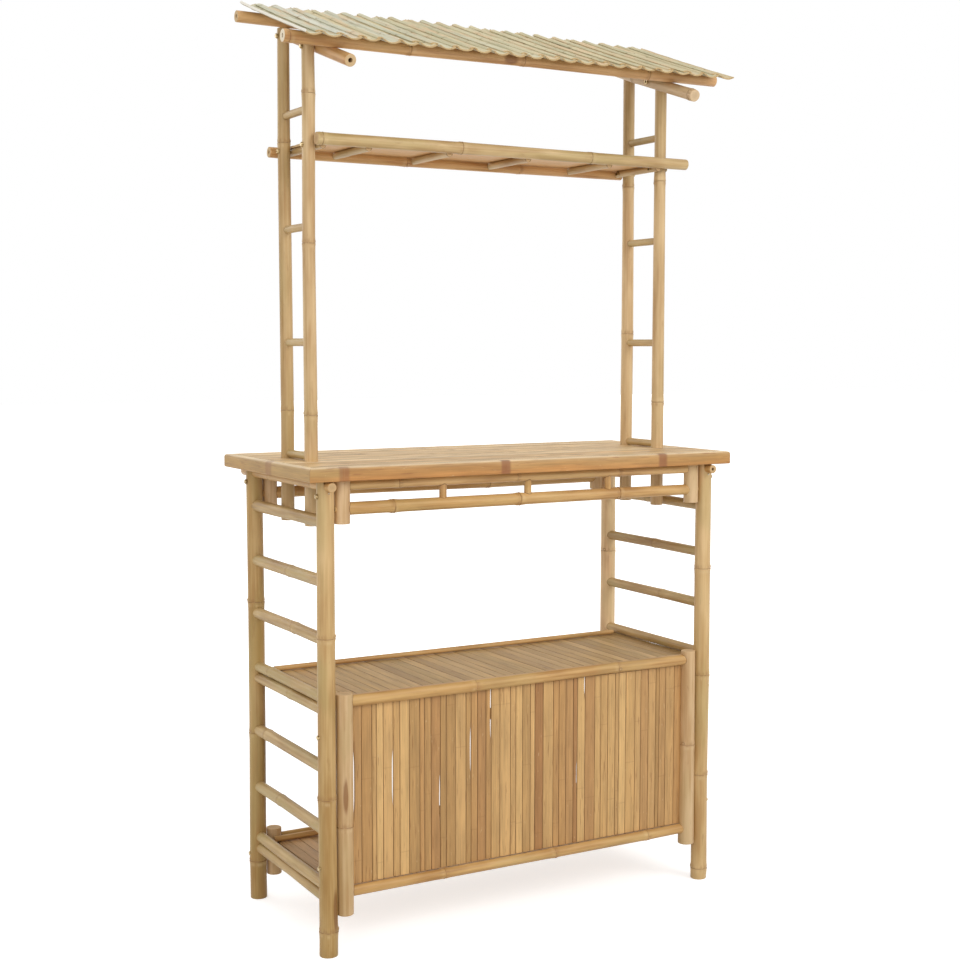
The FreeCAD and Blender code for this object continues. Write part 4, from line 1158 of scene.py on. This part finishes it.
def growBars(node, sizes, way, slimUp=0.0, dropUp=0.0, longer=0.0, closed=None, slits=(), **inputs):
    # sizes: which of the box's three sizes is the width, the length and the thickness
    # closed: how far the last bar reaches out, where the bars touch each other
    side, run = sizes[:2]
    inputs = {label.replace("_", " "): value for label, value in inputs.items()}
    rng = random.Random(seeds[node])
    boxes = [[points.min(0), points.max(0)] for points in solidsOf(node)]
    if closed is not None:
        for one, other in zip(boxes[:-1], boxes[1:]):
            one[1][side] = other[0][side] = (one[1][side] + other[0][side]) / 2
        boxes[-1][1][side] += closed
    cuts = {}
    for across, middle, long, wide in slits:
        edges = [abs(across - (high if wide > 0 else low)[side]) for low, high in boxes]
        cuts[edges.index(min(edges))] = (wide, middle, long)
    rows = []
    for k, (low, high) in enumerate(boxes):
        high[run] += longer
        half = (high - low) / 2
        seat = (low + high) / 2
        notches = [0.0, 0.0]
        if "Notch Radius" in inputs:
            for upright in some("upright_", corners):
                gap = upright.start[side] - seat[side]
                if abs(abs(gap) - half[side]) < touching:
                    notches[gap > 0] = 1.0
        wide, middle, long = cuts.get(k, (0.0, seat[run], 1.0))
        rows.append((seat, half[list(sizes)], rng.random(), rng.random(), rng.uniform(-0.9, 0.9) * half[run],
                     slimUp * rng.random() ** 2, dropUp * rng.random() ** 2, *notches,
                     wide, middle - seat[run], long))
    growPiece(node, barShape, barMarks, rows, {**way, **inputs})


# Where light shows beside the panel's slats: place along X, height, half length, and width taken
# off the slat to the left, or off the one to the right where it is negative
panelSlits = (
    (-0.434, 0.365, 0.090, -0.0054), (-0.347, 0.365, 0.060, 0.0027), (-0.2155, 0.300, 0.060, 0.0025),
    (-0.145, 0.403, 0.055, 0.0027), (-0.0925, 0.480, 0.065, 0.0028), (0.150, 0.300, 0.050, 0.0024),
    (0.1695, 0.515, 0.025, 0.0026),
)


def makeBars():
    lengthX = ways("y", "x", "z")
    growBars("panel_slats", (0, 2, 1), ways("x", "z", "front"), closed=0.0055, slits=panelSlits,
             Rows=41, Crown=0.0011, Warp=0.0010)
    growBars("panel_battens", (2, 0, 1), ways("z", "x", "front"), Rows=33)
    for node, longer in (("cabinet_top_slats", 0.008), ("bottom_shelf_slats", 0.0)):
        growBars(node, (0, 1, 2), ways("x", "y", "z"), slimUp=0.0005, dropUp=0.0013, longer=longer,
                 closed=0.0, Rows=25, Crown=0.0004, Warp=0.0006, Ragged=0.003)
    growBars("cabinet_top_strip", (1, 0, 2), lengthX, Rows=41, Crown=0.0006)
    growBars("shelf_slats", (1, 0, 2), lengthX, Rows=41, Crown=0.0005)
    corner = culms["upright_front_right"][0]
    growBars("counter_boards", (1, 0, 2), lengthX, Rows=161, Wander=0.0002, Warp=0.0004, Bevel=0.0010,
             Notch_Radius=corner.radius + clearance, Notch_Place=corner.start[0])


makeBars()
print("slats and boards grown")


# Counter trims

trimSettings = {
    "topRound": 0.0065, "lowRound": 0.003, "wave": 0.0002, "rows": 120,
    # Node bands: place from the middle of the trim, strength and width
    "bands": {"front": ((-0.467, 0.75, 1.0), (-0.078, 1.0, 1.0), (0.347, 1.0, 1.0)),
              "rear": ((-0.39, 0.8, 1.0), (0.02, 0.7, 1.2), (0.41, 1.0, 1.0)),
              "left": ((-0.023, 0.6, 1.5),), "right": ((-0.06, 0.8, 1.0),)},
}


def trimOutline(depth, height, settings):
    # Section of a trim, seen along it: outwards from 0 at its back, and up
    top, low = settings["topRound"], settings["lowRound"]
    outline = [(0.0, 0.0), (0.0, height)]
    outline += [((depth - top) * k / 4, height) for k in range(1, 4)]
    for k in range(9):
        angle = math.pi / 2 * k / 8
        outline.append((depth - top * (1 - math.sin(angle)), height - top * (1 - math.cos(angle))))
    face = height - top - low
    outline += [(depth, height - top - face * k / 5) for k in range(1, 5)]
    for k in range(6):
        angle = math.pi / 2 * k / 5
        outline.append((depth - low * (1 - math.cos(angle)), low * (1 - math.sin(angle))))
    outline += [((depth - low) * (4 - k) / 4, 0.0) for k in range(1, 4)]
    return outline


def makeTrim(name, settings):
    node = "counter_trim_" + name
    seed, rings = seeds[node], settings["bands"][name]
    low, high = [np.array(corner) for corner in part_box(node)]
    size = high - low
    along = int(size[:2].argmax())
    outside = 1 - along
    sign = 1 if (low + high)[outside] > 0 else -1
    back = low[outside] if sign > 0 else high[outside]
    depth, length, height = size[outside], size[along], size[2]
    outline = trimOutline(depth, height, settings)
    points = []
    for row in range(settings["rows"] + 1):
        share = row / settings["rows"] * 2 - 1
        for out, up in outline:
            run = share * (length / 2 - (depth - out))
            wave = settings["wave"] * math.sin(run * 31 + seed) * (out > depth * 0.7)
            spot = [0.0, 0.0, low[2] + up]
            spot[along] = run
            spot[outside] = back + sign * (out - abs(wave))
            middle, strength, wide = min(rings, key=lambda ring: abs(run - ring[0]))
            knot = (run - middle) * 1000 / wide
            near = strength * min(max(3 - abs(knot) / 20, 0), 1)
            mitre = (length / 2 - (depth - out) - abs(run)) * 1000
            tone = (seed * 0.37 + sum(run > ring[0] for ring in rings) * 0.29) % 1
            fibre = (out + seed, up, run + seed)
            points.append((spot, fibre, knot, tone, near, mitre, up / height, 0.0, 0.0))
    spots, *columns = [np.array(column, float) for column in zip(*points)]
    mesh = meshFrom(node + "_bar", [(spots, prism(len(outline), settings["rows"]))])
    writeMarks(mesh, dict(zip("fibre knot tone near edge height bare back".split(), columns)))
    settle(mesh, slatEdge)
    showPiece(node + "_bar", mesh, node)


for name in ends + sides:
    makeTrim(name, trimSettings)
print("counter trims made")


# Roof tiles

tileSettings = {
    "pans": {"Radius": 0.0350, "Half Angle": math.radians(35.2), "Turned": -1.0, "Wall": 0.0024,
             "Ragged": 0.016, "Across": 13},
    "caps": {"Radius": 0.0135, "Half Angle": math.radians(44), "Turned": 1.0, "Wall": 0.0022,
             "Ragged": 0.020, "Across": 11},
    "rows": 41, "wander": 0.0016, "sunk": 0.0011, "rearRise": 0.006, "knotRise": 0.0009, "knotWide": 0.005,
    "capDrop": 0.0068, "capWide": (0.75, 1.4),
    # Most that a tile falls short at its front and its rear end, and its sideways slant
    "panShort": (0.007, 0.012), "capShort": (0.020, 0.036), "panSlant": 0.00165, "capSlant": 0.0055,
    # Tone at the roof's middle, its rise for each metre to the right, and its chance part
    "tones": (0.26, 0.6, 0.48),
}
tileMarks = ("reach", "tone", "seed", "knobAt", "shortFront", "shortRear", "slant", "wide", "rim")


def tileTree(settings):
    # Split culms up the slope of the roof, open upwards or downwards, with ragged ends
    wandering = settings["wander"]
    tree, entry = newTree("tiles", settings["pans"])
    shape, (u, v, w) = onPoints(tree, entry["Geometry"], slabOf(tree, entry["Across"], settings["rows"]))
    reach, tone, seed, knobAt, shortFront, shortRear, slant, wide, rim = readPoints(tree, tileMarks)
    inner = 0.5 - w * 0.5
    sign = v.math("SIGN")
    rear = v * 0.5 + 0.5
    run = (reach * 2.0 - shortFront - shortRear) * rear + shortFront - reach
    wander = joined(tree, seed * 23.0, run, 0.5).noise((1.0, 9.0, 1.0)) - 0.5
    edge = joined(tree, seed * 41.0, run, u.math("SIGN") * 5.0).noise((1.0, 22.0, 1.0), 3.0) - 0.5
    angle = u * entry["Half Angle"] * (1.0 + edge * 0.16 - 0.05)
    dents = joined(tree, seed * 7.0 + u, run, 2.0).noise((1.0, 14.0, 1.0)) - 0.5
    ring = (run - knobAt).bell(0.0, settings["knotWide"]) * settings["knotRise"]
    edging = (u * -1.0).smooth(0.80, 0.98) * rim
    distance = entry["Radius"] - entry["Wall"] * (edging * 1.1 + 1.0) * inner
    distance = distance + dents * wandering + ring - settings["sunk"]
    x = distance * angle.math("SINE") * wide + wander * wandering * 1.5 + run * slant
    up = distance * angle.math("COSINE") * entry["Turned"] + rear * rear * settings["rearRise"]
    fray = joined(tree, seed * 11.0, u * 2.6, sign * 3.0).noise((1.0, 1.0, 1.0), 4.0)
    ragged = entry["Ragged"] * (rear.over(0.5) * 0.75 + 0.25)
    run = run - sign * fray * abs(v).smooth(0.93, 1.0) * ragged
    marks = {
        "fibre": joined(tree, x + seed * 2.3, up + seed * 0.7, run + seed * 7.9),
        "knot": (run - knobAt) * 1000.0,
        "bare": abs(v).over(0.995) * 2.0,
        "rim": edging,
        # Painted shade and cracks along both long edges of each tile but the first pan
        "seam": abs(u).smooth(0.86, 0.98) * (1.0 - rim),
        "back": inner,
        "tone": tone,
    }
    return laidOut(tree, shape, entry, x, run, up, marks)


def growTiles(node, tree, caps, settings):
    kind = "cap" if caps else "pan"
    inputs, short, slant = settings[kind + "s"], settings[kind + "Short"], settings[kind + "Slant"]
    toned, tilt, chance = settings["tones"]
    rng = random.Random(seeds[node])
    way = ways("x", "slope", "lift")
    along, lift = np.array(way["Run"]), np.array(way["Up"])
    rows = []
    for k, points in enumerate(solidsOf(node)):
        x, run, rise = points[:, 0], points @ along, points @ lift
        if caps:
            back = rise.max() - settings["capDrop"] - inputs["Radius"]
        else:
            back = rise.min() + inputs["Radius"]
        middle, reach = (run.min() + run.max()) / 2, (run.max() - run.min()) / 2
        seat = along * middle + lift * back + np.array(((x.min() + x.max()) / 2, 0, 0))
        wide = rng.uniform(*settings["capWide"]) if caps else 1.0
        rows.append((seat, reach, tilt * seat[0] + toned + chance * rng.random(), rng.random(),
                     rng.uniform(-0.8, 0.8) * reach, short[0] * rng.random(), short[1] * rng.random() ** 1.5,
                     rng.uniform(-1, 1) * slant, wide, float(k == 0 and not caps)))
    growPiece(node, tree, tileMarks, rows, {**way, **inputs})


tileShape = tileTree(tileSettings)
growTiles("roof_pan_tiles", tileShape, False, tileSettings)
growTiles("roof_cap_tiles", tileShape, True, tileSettings)
print("roof tiles grown")


# Fixings

boltSettings = {
    "flats": 0.0090, "height": 0.0032, "washer": 0.0062, "sheet": 0.0008, "chamfer": 0.78, "inside": 0.0004}


def boltTree(settings):
    # A washer and a hexagon head with a chamfered top
    tree, entry = newTree("bolts", {})
    corner, height, sheet = settings["flats"] / math.sqrt(3), settings["height"], settings["sheet"]
    washer = place(tree, "GeometryNodeMeshCylinder",
                   {"Vertices": 28, "Radius": settings["washer"], "Depth": sheet}, "Mesh")
    head = place(tree, "GeometryNodeMeshCylinder", {"Vertices": 6, "Radius": corner, "Depth": height * 0.72},
                 "Mesh")
    crown = place(tree, "GeometryNodeMeshCone",
                  {"Vertices": 6, "Radius Bottom": corner, "Radius Top": corner * settings["chamfer"],
                   "Depth": height * 0.28}, "Mesh")
    whole = tree.nodes.new("GeometryNodeJoinGeometry")
    for mesh, lift in ((washer, sheet * 0.5), (head, sheet + height * 0.36), (crown, sheet + height * 0.72)):
        raised = place(tree, "GeometryNodeTransform", {"Geometry": mesh, "Translation": (0.0, 0.0, lift)})
        tree.links.new(raised.socket, whole.inputs[0])
    shape, (x, y, z) = onPoints(tree, entry["Geometry"], Wire(tree, whole.outputs[0]))
    return laidOut(tree, shape, entry, x, y, z * readPoint(tree, "faces"), {})


def makeBolts(settings):
    rows = []
    for points in solidsOf("frame_bolts"):
        low, high = points.min(0), points.max(0)
        sign = 1.0 if low[0] + high[0] > 0 else -1.0
        outer = high[0] if sign > 0 else low[0]
        inner = outer - sign * (settings["height"] + settings["inside"])
        rows.append(((inner, (low[1] + high[1]) / 2, (low[2] + high[2]) / 2), sign))
    growPiece("frame_bolts", boltTree(settings), ("faces",), rows, ways("z", "y", "x"))


makeBolts(boltSettings)
for node in ("upright_nuts", "rail_pins"):
    for slotItem in frame["nodes"][node].material_slots:
        slotItem.material = finishOf(node)
print("fixings made")


# Stage

stageSettings = {
    "floor": 60.0, "white": (222, 222, 222), "glow": 0.62, "farGlow": 1.0, "near": 0.9, "far": 2.8,
    "sky": 0.58,
    # Name, place, size and watts
    "lamps": (("key", (2.4, -4.6, 3.9), 3.0, 140), ("fill", (-3.6, -3.2, 2.6), 3.0, 64),
              ("top", (0.0, 0.2, 5.6), 3.2, 30), ("rear", (-2.0, 4.0, 3.2), 3.0, 44)),
}


def seenRay(tree):
    # 1 on rays from the camera, in reflections and through glass
    kinds = ("Is Camera Ray", "Is Glossy Ray", "Is Transmission Ray")
    return sum(place(tree, "ShaderNodeLightPath", {}, kind) for kind in kinds).atMost(1.0)


def makeStage(settings):
    half = settings["floor"] / 2
    mesh = bpy.data.meshes.new("floor")
    mesh.from_pydata([(-half, -half, 0), (half, -half, 0), (half, half, 0), (-half, half, 0)], [],
                     [(0, 1, 2, 3)])
    floor = addObject("floor", mesh)
    material, tree, shader = newFinish("floorPaper", 0.0)
    spot = place(tree, "ShaderNodeTexCoord", {}, "Object")
    away = place(tree, "ShaderNodeVectorMath", {0: spot}, "Value", operation="LENGTH")
    spread = away.smooth(settings["near"], settings["far"])
    glow = spread * (settings["farGlow"] - settings["glow"]) + settings["glow"]
    white = (1, 1, 1, 1)
    feed(shader, {"Base Color": paint(settings["white"]), "Roughness": 0.9, "Emission Color": white,
                  "Emission Strength": seenRay(tree) * glow})
    mesh.materials.append(material)
    world = bpy.data.worlds.new("room")
    world.use_nodes = True
    bpy.context.scene.world = world
    seen = seenRay(world.node_tree)
    feed(world.node_tree.nodes["Background"],
         {"Color": white, "Strength": seen * (1 - settings["sky"]) + settings["sky"]})
    for name, spot, size, watts in settings["lamps"]:
        light = addObject(name, bpy.data.lights.new(name, "AREA"))
        light.data.size = size
        light.data.energy = watts
        aim = (Vector((0, 0, 1.0)) - Vector(spot)).to_track_quat("-Z", "Y")
        light.matrix_world = Matrix.Translation(spot) @ aim.to_matrix().to_4x4()


makeStage(stageSettings)
print("stage set")

bpy.context.view_layer.update()
